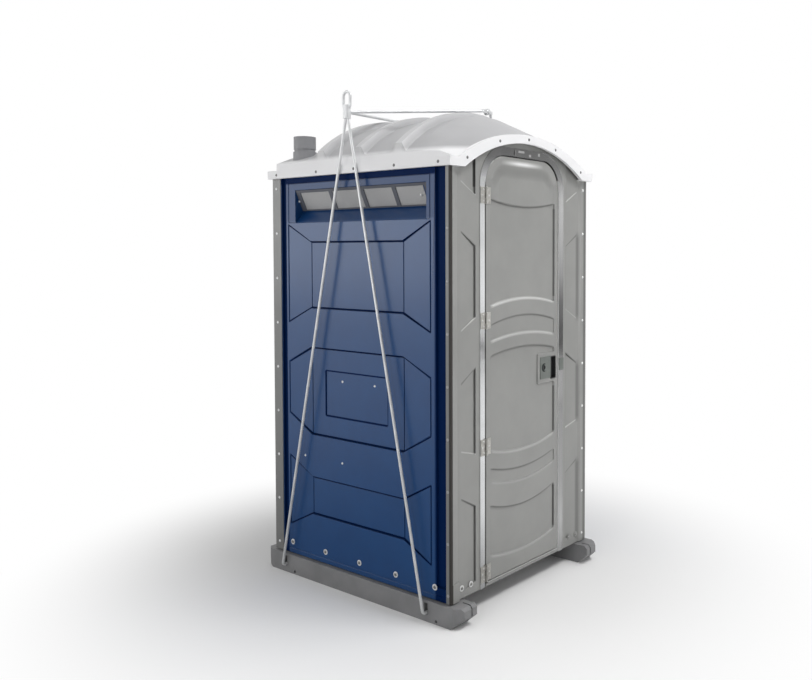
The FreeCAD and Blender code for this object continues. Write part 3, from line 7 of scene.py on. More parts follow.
import bmesh
import bpy
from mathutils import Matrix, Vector


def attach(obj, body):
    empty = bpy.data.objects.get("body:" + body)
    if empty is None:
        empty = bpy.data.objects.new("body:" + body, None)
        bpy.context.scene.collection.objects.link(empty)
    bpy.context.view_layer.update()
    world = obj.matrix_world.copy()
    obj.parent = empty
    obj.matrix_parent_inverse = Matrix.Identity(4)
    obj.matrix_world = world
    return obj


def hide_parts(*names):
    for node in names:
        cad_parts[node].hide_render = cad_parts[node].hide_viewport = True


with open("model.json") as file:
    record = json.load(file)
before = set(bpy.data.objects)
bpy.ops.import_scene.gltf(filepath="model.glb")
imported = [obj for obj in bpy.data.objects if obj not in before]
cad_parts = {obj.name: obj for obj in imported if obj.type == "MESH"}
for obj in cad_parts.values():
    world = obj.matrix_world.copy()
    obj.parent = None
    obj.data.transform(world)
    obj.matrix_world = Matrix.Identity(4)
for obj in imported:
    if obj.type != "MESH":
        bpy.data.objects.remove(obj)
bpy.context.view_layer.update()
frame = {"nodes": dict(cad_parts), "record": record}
nodes = frame["nodes"]
node_slots = {part["node"]: part["material_slot"] for part in frame["record"]["subparts"]}
node_bodies = {node: body for body, members in frame["record"]["behaviour"]["bodies"].items()
               for node in members}
scene = bpy.context.scene
scene.view_settings.view_transform = "Standard"


# Pieces and places, in metres
X, Y, Z = range(3)


def span(node_name, axis):
    """Where a node begins and ends along an axis."""
    reach = [vertex.co[axis] for vertex in nodes[node_name].data.vertices]
    return min(reach), max(reach)


def new_object(name, data):
    """An object of the scene that shows a mesh, a lamp or a camera."""
    made = bpy.data.objects.new(name, data)
    scene.collection.objects.link(made)
    return made


WALL_FACE = span("wall_right", X)[1]
WALL_FRONT, WALL_BACK = span("wall_right", Y)
VENT_FRONT, VENT_BACK = span("vent_frame_left", Y)
VENT_FOOT, VENT_TOP = span("vent_frame_left", Z)
TRIM_SIDE = span("frame_head", X)[1]
TRIM_FACE = span("frame_head", Y)[0]
SILL_HALF = span("threshold", X)[1]
SILL_TOP = span("threshold", Z)[1]
DOOR_HINGE_EDGE, DOOR_LOCK_EDGE = span("door", X)
DOOR_FOOT, DOOR_TOP = span("door", Z)
ROOF_END = span("roof", Y)[1]
EAVE = span("roof", Z)[0]
SPINDLE_X = sum(span("latch_knob", X)) / 2
SPINDLE_Z = sum(span("latch_knob", Z)) / 2


# Shader steps
def rgba(tone):
    return (*tone, 1.0)


def new_node(tree, kind, **settings):
    """A node of a tree; settings that begin with in_ go to its inputs."""
    node = tree.nodes.new(kind)
    for key, value in settings.items():
        if key.startswith("in_"):
            node.inputs[key[3:].replace("_", " ")].default_value = value
        else:
            setattr(node, key, value)
    return node


def feed(tree, entry, value):
    """Gives an input another node's socket, a number or a colour."""
    if isinstance(value, bpy.types.NodeSocket):
        tree.links.new(value, entry)
    else:
        entry.default_value = value


def calculated(tree, operation, first, second=None):
    """The socket of one calculation on sockets or plain numbers."""
    step = new_node(tree, "ShaderNodeMath", operation=operation)
    feed(tree, step.inputs[0], first)
    if second is not None:
        feed(tree, step.inputs[1], second)
    return step.outputs[0]


def vector_step(tree, operation, first, second=None):
    """The socket of one calculation on places."""
    step = new_node(tree, "ShaderNodeVectorMath", operation=operation)
    feed(tree, step.inputs[0], first)
    if second is not None:
        feed(tree, step.inputs[1], second)
    return step.outputs["Vector" if operation == "MULTIPLY" else "Value"]


def ranged(tree, value, low, high, at_low=0.0, at_high=1.0, curve="LINEAR"):
    """A value led from one range to another and held at both ends."""
    lead = new_node(tree, "ShaderNodeMapRange", interpolation_type=curve)
    for label, limit in (("From Min", low), ("From Max", high), ("To Min", at_low), ("To Max", at_high)):
        feed(tree, lead.inputs[label], limit)
    tree.links.new(value, lead.inputs["Value"])
    return lead.outputs["Result"]


def mixed(tree, share, first, second, kind="RGBA"):
    """A colour or number between two others."""
    mix = new_node(tree, "ShaderNodeMix", data_type=kind)
    feed(tree, mix.inputs["Factor"], share)
    feed(tree, mix.inputs["A"], first)
    feed(tree, mix.inputs["B"], second)
    return mix.outputs["Result"]


def split_place(tree):
    """The three coordinates of a place on the cabin."""
    place = new_node(tree, "ShaderNodeTexCoord")
    split = new_node(tree, "ShaderNodeSeparateXYZ")
    tree.links.new(place.outputs["Object"], split.inputs["Vector"])
    return split.outputs


def shade_by_reach(tree, reach, longest, stops):
    """A grey that follows stops of (share of the longest reach, grey)."""
    ramp = new_node(tree, "ShaderNodeValToRGB")
    tree.links.new(calculated(tree, "DIVIDE", reach, longest), ramp.inputs["Fac"])
    while len(ramp.color_ramp.elements) < len(stops):
        ramp.color_ramp.elements.new(0.5)
    for element, (position, grey) in zip(ramp.color_ramp.elements, stops):
        element.position = position
        element.color = rgba((grey, grey, grey))
    return ramp.outputs["Color"]


# Shader groups
def shader_group(name, inputs, outputs):
    """An empty node group with its named sockets."""
    tree = bpy.data.node_groups.new(name, "ShaderNodeTree")
    for label, kind, default in inputs:
        socket = tree.interface.new_socket(name=label, in_out="INPUT", socket_type=kind)
        socket.default_value = default
    for label, kind in outputs:
        tree.interface.new_socket(name=label, in_out="OUTPUT", socket_type=kind)
    entry = tree.nodes.new("NodeGroupInput")
    leave = tree.nodes.new("NodeGroupOutput")
    return tree, entry.outputs, leave.inputs


def make_sheet_grain():
    """Fine orange peel and broad waviness of thermoformed plastic, as a normal."""
    tree, entry, leave = shader_group(
        "sheet_grain",
        [("Peel Size", "NodeSocketFloat", 900.0), ("Peel Depth", "NodeSocketFloat", 0.02),
         ("Wave Size", "NodeSocketFloat", 3.0), ("Wave Depth", "NodeSocketFloat", 0.05)],
        [("Normal", "NodeSocketVector")])
    place = new_node(tree, "ShaderNodeTexCoord")
    peel = new_node(tree, "ShaderNodeTexNoise", in_Detail=2.0, in_Roughness=0.6)
    wave = new_node(tree, "ShaderNodeTexNoise", in_Detail=1.0, in_Roughness=0.4)
    peel_bump = new_node(tree, "ShaderNodeBump", in_Distance=0.001)
    wave_bump = new_node(tree, "ShaderNodeBump", in_Distance=0.02)
    link = tree.links.new
    for noise, bump, size, depth in ((peel, peel_bump, "Peel Size", "Peel Depth"),
                                     (wave, wave_bump, "Wave Size", "Wave Depth")):
        link(place.outputs["Object"], noise.inputs["Vector"])
        link(entry[size], noise.inputs["Scale"])
        link(entry[depth], bump.inputs["Strength"])
        link(noise.outputs["Fac"], bump.inputs["Height"])
    link(wave_bump.outputs["Normal"], peel_bump.inputs["Normal"])
    link(peel_bump.outputs["Normal"], leave["Normal"])
    return tree


def make_mottle():
    """A colour that drifts a little between two tones, with a matching roughness."""
    tree, entry, leave = shader_group(
        "mottle",
        [("Tone", "NodeSocketColor", rgba((0.5, 0.5, 0.5))),
         ("Other Tone", "NodeSocketColor", rgba((0.4, 0.4, 0.4))),
         ("Size", "NodeSocketFloat", 6.0), ("Low Rough", "NodeSocketFloat", 0.3),
         ("High Rough", "NodeSocketFloat", 0.4)],
        [("Color", "NodeSocketColor"), ("Roughness", "NodeSocketFloat")])
    place = new_node(tree, "ShaderNodeTexCoord")
    noise = new_node(tree, "ShaderNodeTexNoise", in_Detail=4.0, in_Roughness=0.55)
    tree.links.new(place.outputs["Object"], noise.inputs["Vector"])
    tree.links.new(entry["Size"], noise.inputs["Scale"])
    drift = ranged(tree, noise.outputs["Fac"], 0.35, 0.65)
    rough = ranged(tree, drift, 0.0, 1.0, entry["Low Rough"], entry["High Rough"])
    feed(tree, leave["Color"], mixed(tree, drift, entry["Tone"], entry["Other Tone"]))
    feed(tree, leave["Roughness"], rough)
    return tree


SHEET_GRAIN = make_sheet_grain()
MOTTLE = make_mottle()


# Finishes
Grain = namedtuple("Grain", "peel_size peel_depth wave_size wave_depth")


def finish(name, tone, other_tone, rough, mottle_size=6.0, grain=None, **surface):
    """A material with drifting tone, roughness between two values and, where given, sheet grain."""
    material = bpy.data.materials.new(name)
    material.use_nodes = True
    tree = material.node_tree
    surface_node = tree.nodes["Principled BSDF"]
    drift = new_node(tree, "ShaderNodeGroup", node_tree=MOTTLE)
    drift.inputs["Tone"].default_value = rgba(tone)
    drift.inputs["Other Tone"].default_value = rgba(other_tone)
    drift.inputs["Size"].default_value = mottle_size
    drift.inputs["Low Rough"].default_value, drift.inputs["High Rough"].default_value = rough
    feed(tree, surface_node.inputs["Base Color"], drift.outputs["Color"])
    feed(tree, surface_node.inputs["Roughness"], drift.outputs["Roughness"])
    if grain:
        texture = new_node(tree, "ShaderNodeGroup", node_tree=SHEET_GRAIN)
        for label, value in grain._asdict().items():
            texture.inputs[label.replace("_", " ").title()].default_value = value
        feed(tree, surface_node.inputs["Normal"], texture.outputs["Normal"])
    for label, value in surface.items():
        surface_node.inputs[label.replace("_", " ")].default_value = value
    return material


NAVY_SHEET = finish("navy_sheet", (0.0065, 0.052, 0.172), (0.0075, 0.058, 0.186), (0.30, 0.30),
                    grain=Grain(420.0, 0.0, 2.2, 0.10), Coat_Roughness=0.2)
GREY_TONES = ((0.256, 0.258, 0.249), (0.280, 0.281, 0.271))
GREY_SHEET = finish("grey_sheet", *GREY_TONES, (0.34, 0.42), grain=Grain(420.0, 0.03, 2.6, 0.20),
                    Coat_Weight=0.3, Coat_Roughness=0.16)
DOOR_SHEET = finish("door_sheet", *GREY_TONES, (0.34, 0.42), grain=Grain(420.0, 0.03, 2.6, 0.25),
                    Coat_Weight=0.45, Coat_Roughness=0.14)
ROOF_SHEET = finish("roof_sheet", (0.40, 0.40, 0.41), (0.44, 0.44, 0.45), (0.34, 0.42),
                    grain=Grain(300.0, 0.03, 3.0, 0.10))
SKID_PLASTIC = finish("skid_plastic", (0.195, 0.196, 0.200), (0.235, 0.235, 0.240), (0.45, 0.58), 9.0,
                      grain=Grain(260.0, 0.12, 6.0, 0.10))
FLOOR_PLASTIC = finish("floor_plastic", (0.16, 0.16, 0.165), (0.19, 0.19, 0.195), (0.5, 0.6),
                       grain=Grain(350.0, 0.25, 6.0, 0.10))
VENT_PLASTIC = finish("vent_plastic", (0.085, 0.091, 0.112), (0.100, 0.106, 0.128), (0.36, 0.44),
                      grain=Grain(600.0, 0.1, 4.0, 0.05))
STACK_PLASTIC = finish("stack_plastic", (0.25, 0.252, 0.265), (0.29, 0.292, 0.305), (0.4, 0.5),
                       grain=Grain(300.0, 0.04, 4.0, 0.05))
DARK_PLASTIC = finish("dark_plastic", (0.030, 0.031, 0.033), (0.040, 0.040, 0.042), (0.38, 0.48),
                      grain=Grain(500.0, 0.15, 4.0, 0.0))
TANK_PLASTIC = finish("tank_plastic", (0.17, 0.175, 0.18), (0.20, 0.205, 0.21), (0.45, 0.55),
                      grain=Grain(300.0, 0.2, 4.0, 0.1))
SEAT_PLASTIC = finish("seat_plastic", (0.016, 0.016, 0.018), (0.020, 0.020, 0.022), (0.22, 0.28),
                      Coat_Weight=0.3, Coat_Roughness=0.1)
HOSE_RUBBER = finish("hose_rubber", (0.045, 0.045, 0.046), (0.06, 0.06, 0.06), (0.6, 0.7))
PAPER = finish("paper", (0.80, 0.79, 0.76), (0.86, 0.85, 0.82), (0.9, 0.95), 60.0)
BRIGHT_TRIM = finish("bright_trim", (0.76, 0.77, 0.78), (0.82, 0.83, 0.84), (0.14, 0.20), 12.0,
                     Metallic=1.0)
ZINC = finish("zinc", (0.60, 0.60, 0.60), (0.72, 0.72, 0.71), (0.32, 0.45), 40.0, Metallic=1.0)
HINGE_STEEL = finish("hinge_steel", (0.40, 0.39, 0.365), (0.54, 0.53, 0.50), (0.34, 0.46), 70.0,
                     Metallic=0.6)
RIVET_METAL = finish("rivet_metal", (0.82, 0.83, 0.83), (0.88, 0.88, 0.88), (0.3, 0.4), 60.0,
                     Metallic=0.25)
ROOF_SCREW_METAL = finish("roof_screw_metal", (0.16, 0.16, 0.16), (0.22, 0.22, 0.22), (0.4, 0.5), 60.0,
                          Metallic=0.3)
BOLT_METAL = finish("bolt_metal", (0.78, 0.78, 0.78), (0.84, 0.84, 0.84), (0.3, 0.4), 60.0,
                    Metallic=0.35)
GALVANISED = finish("galvanised", (0.70, 0.71, 0.715), (0.82, 0.83, 0.84), (0.30, 0.42), 18.0,
                    Metallic=0.4)
LATCH_METAL = finish("latch_metal", (0.155, 0.172, 0.160), (0.185, 0.20, 0.188), (0.35, 0.45), 30.0,
                     Metallic=0.4)

WEAVE_PITCH = 0.0032
GROUND_TONE = (0.18, 0.18, 0.185)
WIRE_TONE = (0.56, 0.56, 0.56)
WIRE_EDGE = (0.1, 0.7)


def make_mesh_material():
    """Woven insect mesh, as a fine grid of light wires over a dark ground."""
    material = bpy.data.materials.new("insect_mesh")
    material.use_nodes = True
    tree = material.node_tree
    surface_node = tree.nodes["Principled BSDF"]
    place = split_place(tree)
    waves = [calculated(tree, "SINE", calculated(tree, "MULTIPLY", place[axis], 2 * math.pi / WEAVE_PITCH))
             for axis in ("Y", "Z")]
    wires = ranged(tree, calculated(tree, "MAXIMUM", *waves), *WIRE_EDGE)
    feed(tree, surface_node.inputs["Base Color"], mixed(tree, wires, rgba(GROUND_TONE), rgba(WIRE_TONE)))
    surface_node.inputs["Roughness"].default_value = 0.5
    surface_node.inputs["Metallic"].default_value = 0.3
    return material


INSECT_MESH = make_mesh_material()


# Masks
LINE_SOFT = 0.0015
LINE_END_SOFT = 0.003
BOW_END_SOFT = 0.012


def above_mask(tree, value, limit, soft):
    """One past a limit of a coordinate and zero before it."""
    return ranged(tree, value, limit - soft, limit + soft)


def below_mask(tree, value, limit, soft):
    """One before a limit of a coordinate and zero past it."""
    return ranged(tree, value, limit - soft, limit + soft, 1.0, 0.0)


def band_mask(tree, value, low, high, soft):
    """One inside a band of a coordinate and zero outside, with soft edges."""
    return both_masks(tree, above_mask(tree, value, low, soft), below_mask(tree, value, high, soft))


def both_masks(tree, first, second):
    return calculated(tree, "MULTIPLY", first, second)


def any_mask(tree, masks):
    """The strongest of several masks."""
    strongest = masks[0]
    for mask in masks[1:]:
        strongest = calculated(tree, "MAXIMUM", strongest, mask)
    return strongest


def bent_line(tree, aside, height, middle, end, half, reach, thick):
    """A line at one height in the middle that runs to another height past half, up to its reach."""
    level = ranged(tree, aside, half, reach, middle, end)
    line = band_mask(tree, calculated(tree, "SUBTRACT", height, level), -thick, thick, soft=LINE_SOFT)
    return both_masks(tree, line, below_mask(tree, aside, reach, soft=LINE_END_SOFT))


def straight_line(tree, aside, along, at, low, high, thick):
    """A line at one place aside that runs between two places along."""
    line = band_mask(tree, aside, at - thick, at + thick, soft=LINE_SOFT)
    return both_masks(tree, line, band_mask(tree, along, low, high, soft=LINE_END_SOFT))


def bowed_line(tree, place, middle, end, half, thick, soft):
    """A line that bows from one height in the middle to another at both ends."""
    bow = calculated(tree, "MULTIPLY", calculated(tree, "MULTIPLY", place["X"], place["X"]),
                     (end - middle) / half ** 2)
    off = calculated(tree, "SUBTRACT", place["Z"], bow)
    inside = half - BOW_END_SOFT
    return both_masks(tree, band_mask(tree, off, middle - thick, middle + thick, soft),
                      band_mask(tree, place["X"], -inside, inside, soft=BOW_END_SOFT))


def masked_value(material, label, mask, outside, inside):
    """Lets a mask lead one input of the surface between two values."""
    tree = material.node_tree
    feed(tree, tree.nodes["Principled BSDF"].inputs[label], ranged(tree, mask, 0.0, 1.0, outside, inside))


def masked_tone(material, mask, tone):
    """Lets a mask lead the base colour to another tone, given as a colour, a grey or a socket."""
    tree = material.node_tree
    base = tree.nodes["Principled BSDF"].inputs["Base Color"]
    if isinstance(tone, float):
        tone = (tone, tone, tone)
    if isinstance(tone, tuple):
        tone = rgba(tone)
    feed(tree, base, mixed(tree, mask, base.links[0].from_socket, tone))


# Shading of the side walls
FRONT_CHANNEL = (WALL_FRONT + 0.0015, WALL_FRONT + 0.0675)
REAR_CHANNEL = (WALL_BACK - 0.0855, WALL_BACK - 0.0475)
FIELD_CREASE = 0.315
FIELD_SIDE = 0.484
WALL_FIELDS = (
    # top at the ends, top in the middle, foot in the middle, foot at the ends
    (1.781, 1.693, 1.368, 1.290),
    (1.087, 1.168, 0.736, 0.827),
    (0.608, 0.518, 0.334, 0.252),
)
PLATE_SIDES = (-0.208, 0.219)
PLATE_HEIGHTS = (0.838, 1.061)
# band round the vent that gets part of the painted shade
ROUND_VENT = (VENT_FOOT - 0.056, VENT_TOP + 0.041)
ROUND_VENT_SHARE = 0.35
EAVE_SHADE_FOOT = EAVE - 0.033
# painted shade in the hollows and along the top of the side walls
HOLLOW_SHADE_NAVY = (0.0020, 0.014, 0.066)


def shade_hollows():
    """Painted shade: the channels, creases, the plate's border, the band round the vent and the top under
    the eave of the side walls get a darker navy and shine less than the open sheet.
    """
    tree = NAVY_SHEET.node_tree
    place = split_place(tree)
    across, height = place["Y"], place["Z"]
    aside = calculated(tree, "ABSOLUTE", across)
    hollows = [band_mask(tree, across, *FRONT_CHANNEL, soft=0.006),
               band_mask(tree, across, *REAR_CHANNEL, soft=0.003)]
    for top_end, top_middle, foot_middle, foot_end in WALL_FIELDS:
        for middle, end in ((top_middle, top_end), (foot_middle, foot_end)):
            hollows.append(bent_line(tree, aside, height, middle, end, FIELD_CREASE, FIELD_SIDE,
                                     thick=0.0045))
        hollows += [straight_line(tree, aside, height, FIELD_CREASE, foot_middle, top_middle, thick=0.002),
                    straight_line(tree, aside, height, FIELD_SIDE, foot_end, top_end, thick=0.003)]
    hollows += [straight_line(tree, across, height, at, *PLATE_HEIGHTS, thick=0.004) for at in PLATE_SIDES]
    hollows += [straight_line(tree, height, across, at, *PLATE_SIDES, thick=0.004) for at in PLATE_HEIGHTS]
    hollows += [above_mask(tree, height, EAVE_SHADE_FOOT, soft=0.006),
                both_masks(tree, band_mask(tree, height, *ROUND_VENT, soft=0.006), ROUND_VENT_SHARE)]
    hollow = any_mask(tree, hollows)
    masked_value(NAVY_SHEET, "Specular IOR Level", hollow, outside=0.5, inside=0.02)
    masked_value(NAVY_SHEET, "Coat Weight", hollow, outside=0.15, inside=0.0)
    masked_tone(NAVY_SHEET, hollow, HOLLOW_SHADE_NAVY)


# Shading of the end sheets
FLANGE_START = WALL_FACE + 0.0013
# painted shade on the flanges
FLANGE_SHADE_GREY = (0.180, 0.181, 0.178)
SEAM_SIDE = 0.012 - WALL_FACE
# painted shade along a seam down the front corner
SEAM_SHADE_GREY = (0.050, 0.047, 0.044)
STRIP_DOOR_SIDE = TRIM_SIDE + 0.030
STRIP_POST_SIDE = WALL_FACE - 0.0825
STRIP_HEIGHTS = (
    # top at the corner post, top by the door, foot by the door, foot at the corner post
    (2.034, 2.085, 1.901, 1.956),
    (1.733, 1.671, 1.349, 1.295),
    (1.059, 1.120, 0.732, 0.758),
    (0.545, 0.493, 0.150, 0.128),
)
# painted shade and painted highlight along the strips' moulded steps
STEP_SHADE = (0.160, 0.160, 0.157)
STEP_HIGHLIGHT = (0.40, 0.40, 0.395)
EAVE_GROOVE_X = -(TRIM_SIDE + 0.035)
EAVE_GROOVE_HEIGHTS = (1.935, 2.2)
# painted shade in the groove near the eave
EAVE_GROOVE_SHADE = (0.055, 0.055, 0.054)
FIELD_SIDE_BAND = (STRIP_POST_SIDE - 0.005, STRIP_POST_SIDE + 0.020)
FIELD_SIDE_DARK = (0.150, 0.150, 0.147)
POST_BAND = (WALL_FACE - 0.0245, WALL_FACE - 0.0075)
POST_DARK = (0.110, 0.110, 0.108)
FACING_UP = "facing_up"
STEEP = 0.45
# painted highlight on ledges that face up, between these heights
LEDGE_HIGHLIGHT_HEIGHTS = (0.20, 2.12)
LEDGE_HIGHLIGHT = (0.62, 0.62, 0.61)
# painted shade on undersides
UNDERSIDE_SHADE = (0.10, 0.10, 0.098)


def darken_corners():
    """Painted shade: the flanges on the side walls are a darker grey, and a narrow dark seam that shines
    less runs down the front corner.
    """
    tree = GREY_SHEET.node_tree
    place = split_place(tree)
    on_flange = above_mask(tree, calculated(tree, "ABSOLUTE", place["X"]), FLANGE_START, soft=0.0006)
    seam = both_masks(tree, below_mask(tree, place["X"], SEAM_SIDE, soft=0.002),
                      below_mask(tree, place["Y"], TRIM_FACE, soft=0.002))
    masked_tone(GREY_SHEET, on_flange, FLANGE_SHADE_GREY)
    masked_tone(GREY_SHEET, seam, SEAM_SHADE_GREY)
    masked_value(GREY_SHEET, "Coat Weight", seam, outside=0.3, inside=0.0)
    masked_value(GREY_SHEET, "Specular IOR Level", seam, outside=0.5, inside=0.1)


def shade_strip_fields():
    """The fields of the strips beside the door: painted shade along top and door side, painted highlight
    along the foot, and painted shade in a groove near the top of the hinge side.
    """
    tree = GREY_SHEET.node_tree
    place = split_place(tree)
    across, height = place["X"], place["Z"]
    aside = calculated(tree, "ABSOLUTE", across)
    on_strip = band_mask(tree, aside, STRIP_DOOR_SIDE - 0.002, STRIP_POST_SIDE, soft=0.002)
    sides = (STRIP_DOOR_SIDE, STRIP_POST_SIDE)
    dark, pale = [], []
    for top_post, top_door, foot_door, foot_post in STRIP_HEIGHTS:
        dark += [bent_line(tree, aside, height, top_door, top_post, *sides, thick=0.0050),
                 straight_line(tree, aside, height, STRIP_DOOR_SIDE + 0.0015, foot_door, top_door,
                               thick=0.0050)]
        pale.append(bent_line(tree, aside, height, foot_door, foot_post, *sides, thick=0.0030))
    eave_groove = straight_line(tree, across, height, EAVE_GROOVE_X, *EAVE_GROOVE_HEIGHTS, thick=0.006)
    masked_tone(GREY_SHEET, both_masks(tree, any_mask(tree, dark), on_strip), STEP_SHADE)
    masked_tone(GREY_SHEET, eave_groove, EAVE_GROOVE_SHADE)
    masked_tone(GREY_SHEET, both_masks(tree, any_mask(tree, pale[:-1]), on_strip), STEP_HIGHLIGHT)


def shade_right_post():
    """The right post of the front stands in the shade, and so do the fields' ends beside it."""
    tree = GREY_SHEET.node_tree
    place = split_place(tree)
    across, height = place["X"], place["Z"]
    beside = band_mask(tree, across, *FIELD_SIDE_BAND, soft=0.007)
    field_sides = [both_masks(tree, beside, band_mask(tree, height, heights[-1], heights[0], soft=0.02))
                   for heights in STRIP_HEIGHTS[1:]]
    masked_tone(GREY_SHEET, any_mask(tree, field_sides), FIELD_SIDE_DARK)
    masked_tone(GREY_SHEET, band_mask(tree, across, *POST_BAND, soft=0.005), POST_DARK)


def shade_ledges():
    """The moulded steps of the end sheets: ledges that face up get a painted highlight, undersides get
    painted shade.
    """
    tree = GREY_SHEET.node_tree
    height = split_place(tree)["Z"]
    up = new_node(tree, "ShaderNodeAttribute", attribute_name=FACING_UP).outputs["Fac"]
    lit_ledge = both_masks(tree, above_mask(tree, up, STEEP, soft=0.25),
                      band_mask(tree, height, *LEDGE_HIGHLIGHT_HEIGHTS, soft=0.01))
    masked_tone(GREY_SHEET, lit_ledge, LEDGE_HIGHLIGHT)
    masked_tone(GREY_SHEET, below_mask(tree, up, -STEEP, soft=0.25), UNDERSIDE_SHADE)


# Shading of the door
DOOR_FIELD_HALF = DOOR_LOCK_EDGE - 0.034
# painted highlight along the door's up-facing steps
HIGHLIGHT_LEDGES = (
    # height at the ends, height in the middle, grey of the painted highlight
    (1.391, 1.422, 0.66), (1.228, 1.255, 0.56), (0.724, 0.690, 0.42), (0.580, 0.542, 0.34),
    (0.232, 0.202, 0.36),
)
# painted shade along the door's down-facing steps
SHADED_LEDGES = (
    # height at the ends, height in the middle
    (1.886, 1.860), (1.305, 1.342), (1.162, 1.190), (0.642, 0.605), (0.468, 0.424),
)
# painted shade down the lock side of the door's fields
SHADED_SIDES = ((1.42, 1.86), (0.735, 0.965), (0.245, 0.455))
DOOR_SHADE = (0.125, 0.125, 0.122)
DOOR_EDGE_WIDTH = 0.0045
# painted shade along the door's hinge edge
HINGE_EDGE_SHADE = (0.075, 0.075, 0.073)
# painted light on the door's foot
FOOT_PAINTED_LIGHT = (0.34, 0.34, 0.335)
# painted highlight in the cove of the door's head
COVE_SHINE_SIDES = (-0.110, 0.095)
COVE_SHINE_HEIGHTS = (DOOR_TOP - 0.037, DOOR_TOP - 0.020)
COVE_SHINE_GREY = 0.78
COVE_TOP = DOOR_TOP - 0.032
COVE_WIDTH = 0.107
COVE_START = 0.035
COVE_RISE = 0.026
COVE_HEIGHTS = (DOOR_TOP - 0.23, DOOR_TOP - 0.11)


def shade_door_bands():
    """Painted highlight on the door's bowed steps where they face up, painted shade where they face down
    and at the lock side.
    """
    tree = DOOR_SHEET.node_tree
    place = split_place(tree)
    across, height = place["X"], place["Z"]
    for end, middle, grey in HIGHLIGHT_LEDGES:
        ledge = bowed_line(tree, place, middle, end, DOOR_FIELD_HALF, thick=0.0045, soft=0.006)
        masked_tone(DOOR_SHEET, ledge, (grey, grey, grey * 0.99))
    shades = [bowed_line(tree, place, middle, end, DOOR_FIELD_HALF, thick=0.0035, soft=0.004)
              for end, middle in SHADED_LEDGES]
    shades += [straight_line(tree, across, height, DOOR_FIELD_HALF, low, high, thick=0.0045)
               for low, high in SHADED_SIDES]
    masked_tone(DOOR_SHEET, any_mask(tree, shades), DOOR_SHADE)


def shade_door_edges():
    """Painted shade along the door's hinge edge, a painted highlight in the cove of its head and painted
    light on its foot.
    """
    tree = DOOR_SHEET.node_tree
    place = split_place(tree)
    across, height = place["X"], place["Z"]
    hinge_edge = below_mask(tree, across, DOOR_HINGE_EDGE + DOOR_EDGE_WIDTH, soft=0.001)
    cove_shine = both_masks(tree, band_mask(tree, height, *COVE_SHINE_HEIGHTS, soft=0.007),
                            band_mask(tree, across, *COVE_SHINE_SIDES, soft=0.07))
    foot = below_mask(tree, height, DOOR_FOOT + DOOR_EDGE_WIDTH, soft=LINE_SOFT)
    masked_tone(DOOR_SHEET, hinge_edge, HINGE_EDGE_SHADE)
    masked_tone(DOOR_SHEET, cove_shine, COVE_SHINE_GREY)
    masked_tone(DOOR_SHEET, foot, FOOT_PAINTED_LIGHT)


def cove_door_head():
    """The door's top field rises in a soft cove towards its arched edge."""
    tree = DOOR_SHEET.node_tree
    place = split_place(tree)
    aside = calculated(tree, "ABSOLUTE", place["X"])
    reach = new_node(tree, "ShaderNodeCombineXYZ")
    for value, limit, axis in ((aside, DOOR_FIELD_HALF, "X"), (place["Z"], COVE_TOP, "Y")):
        feed(tree, reach.inputs[axis], ranged(tree, value, limit - COVE_WIDTH, limit, 0.0, COVE_WIDTH))
    length = vector_step(tree, "LENGTH", reach.outputs["Vector"])
    rise = ranged(tree, length, COVE_START, COVE_WIDTH, curve="SMOOTHSTEP")
    bump = new_node(tree, "ShaderNodeBump", in_Strength=1.0, in_Distance=COVE_RISE)
    normal = tree.nodes["Principled BSDF"].inputs["Normal"]
    feed(tree, bump.inputs["Height"], both_masks(tree, rise, ranged(tree, place["Z"], *COVE_HEIGHTS)))
    feed(tree, bump.inputs["Normal"], normal.links[0].from_socket)
    feed(tree, normal, bump.outputs["Normal"])


# Shading of the trim, the header bracket and the sill
# painted reflection on the lock side's trim, a grey for each height
LOCK_TRIM_TOP = 2.4
LOCK_TRIM_REFLECTION_GREYS = (
    # height, grey of the painted reflection on the lock side's trim there
    (0.26, 0.55), (0.47, 0.42), (0.65, 0.38), (0.86, 0.33), (1.02, 0.48), (1.10, 0.55), (1.19, 0.24),
    (1.25, 0.17), (1.39, 0.155), (1.50, 0.30), (1.65, 0.46), (1.81, 0.60), (1.91, 0.66), (2.03, 0.46),
)
LOCK_SIDE_START = 0.1
# painted shade on the trim's head under the eave
TRIM_HEAD_START = 2.03
TRIM_HEAD_SHADE_GREY = 0.34
LIP_SIDES = (DOOR_LOCK_EDGE - 0.006, DOOR_LOCK_EDGE + 0.0045)
# painted light on the lip beside the lock
LIP_PAINTED_LIGHT = 0.86
# painted light on the sill
SILL_PAINTED_LIGHT = (0.48, 0.48, 0.475)
HINGE_GAP_SIDES = (DOOR_HINGE_EDGE - 0.0095, DOOR_HINGE_EDGE + 0.016)
HINGE_GAP_TOP = 1.95
# painted shade in the hinge gap
HINGE_GAP_SHADE = 0.09
SPOT_GREY = 0.92
BRACKET_SPOTS = (
    # left, right, bottom and top of each spot
    (-0.084, -0.078, 2.090, 2.130), (-0.056, -0.008, 2.114, 2.130), (0.030, 0.047, 2.100, 2.112),
    (0.106, 0.125, 2.110, 2.130),
)


def paint_trim_reflection():
    """The trim is bright down the hinge side, carries a painted reflection that changes with height on the
    lock side, and is darkest, in painted shade, under the eave.
    """
    tree = BRIGHT_TRIM.node_tree
    place = split_place(tree)
    across, height = place["X"], place["Z"]
    mirrored_greys = shade_by_reach(tree, height, LOCK_TRIM_TOP,
                             [(level / LOCK_TRIM_TOP, grey) for level, grey in LOCK_TRIM_REFLECTION_GREYS])
    masked_tone(BRIGHT_TRIM, above_mask(tree, across, LOCK_SIDE_START, soft=0.05), mirrored_greys)
    masked_tone(BRIGHT_TRIM, above_mask(tree, height, TRIM_HEAD_START, soft=0.05), TRIM_HEAD_SHADE_GREY)


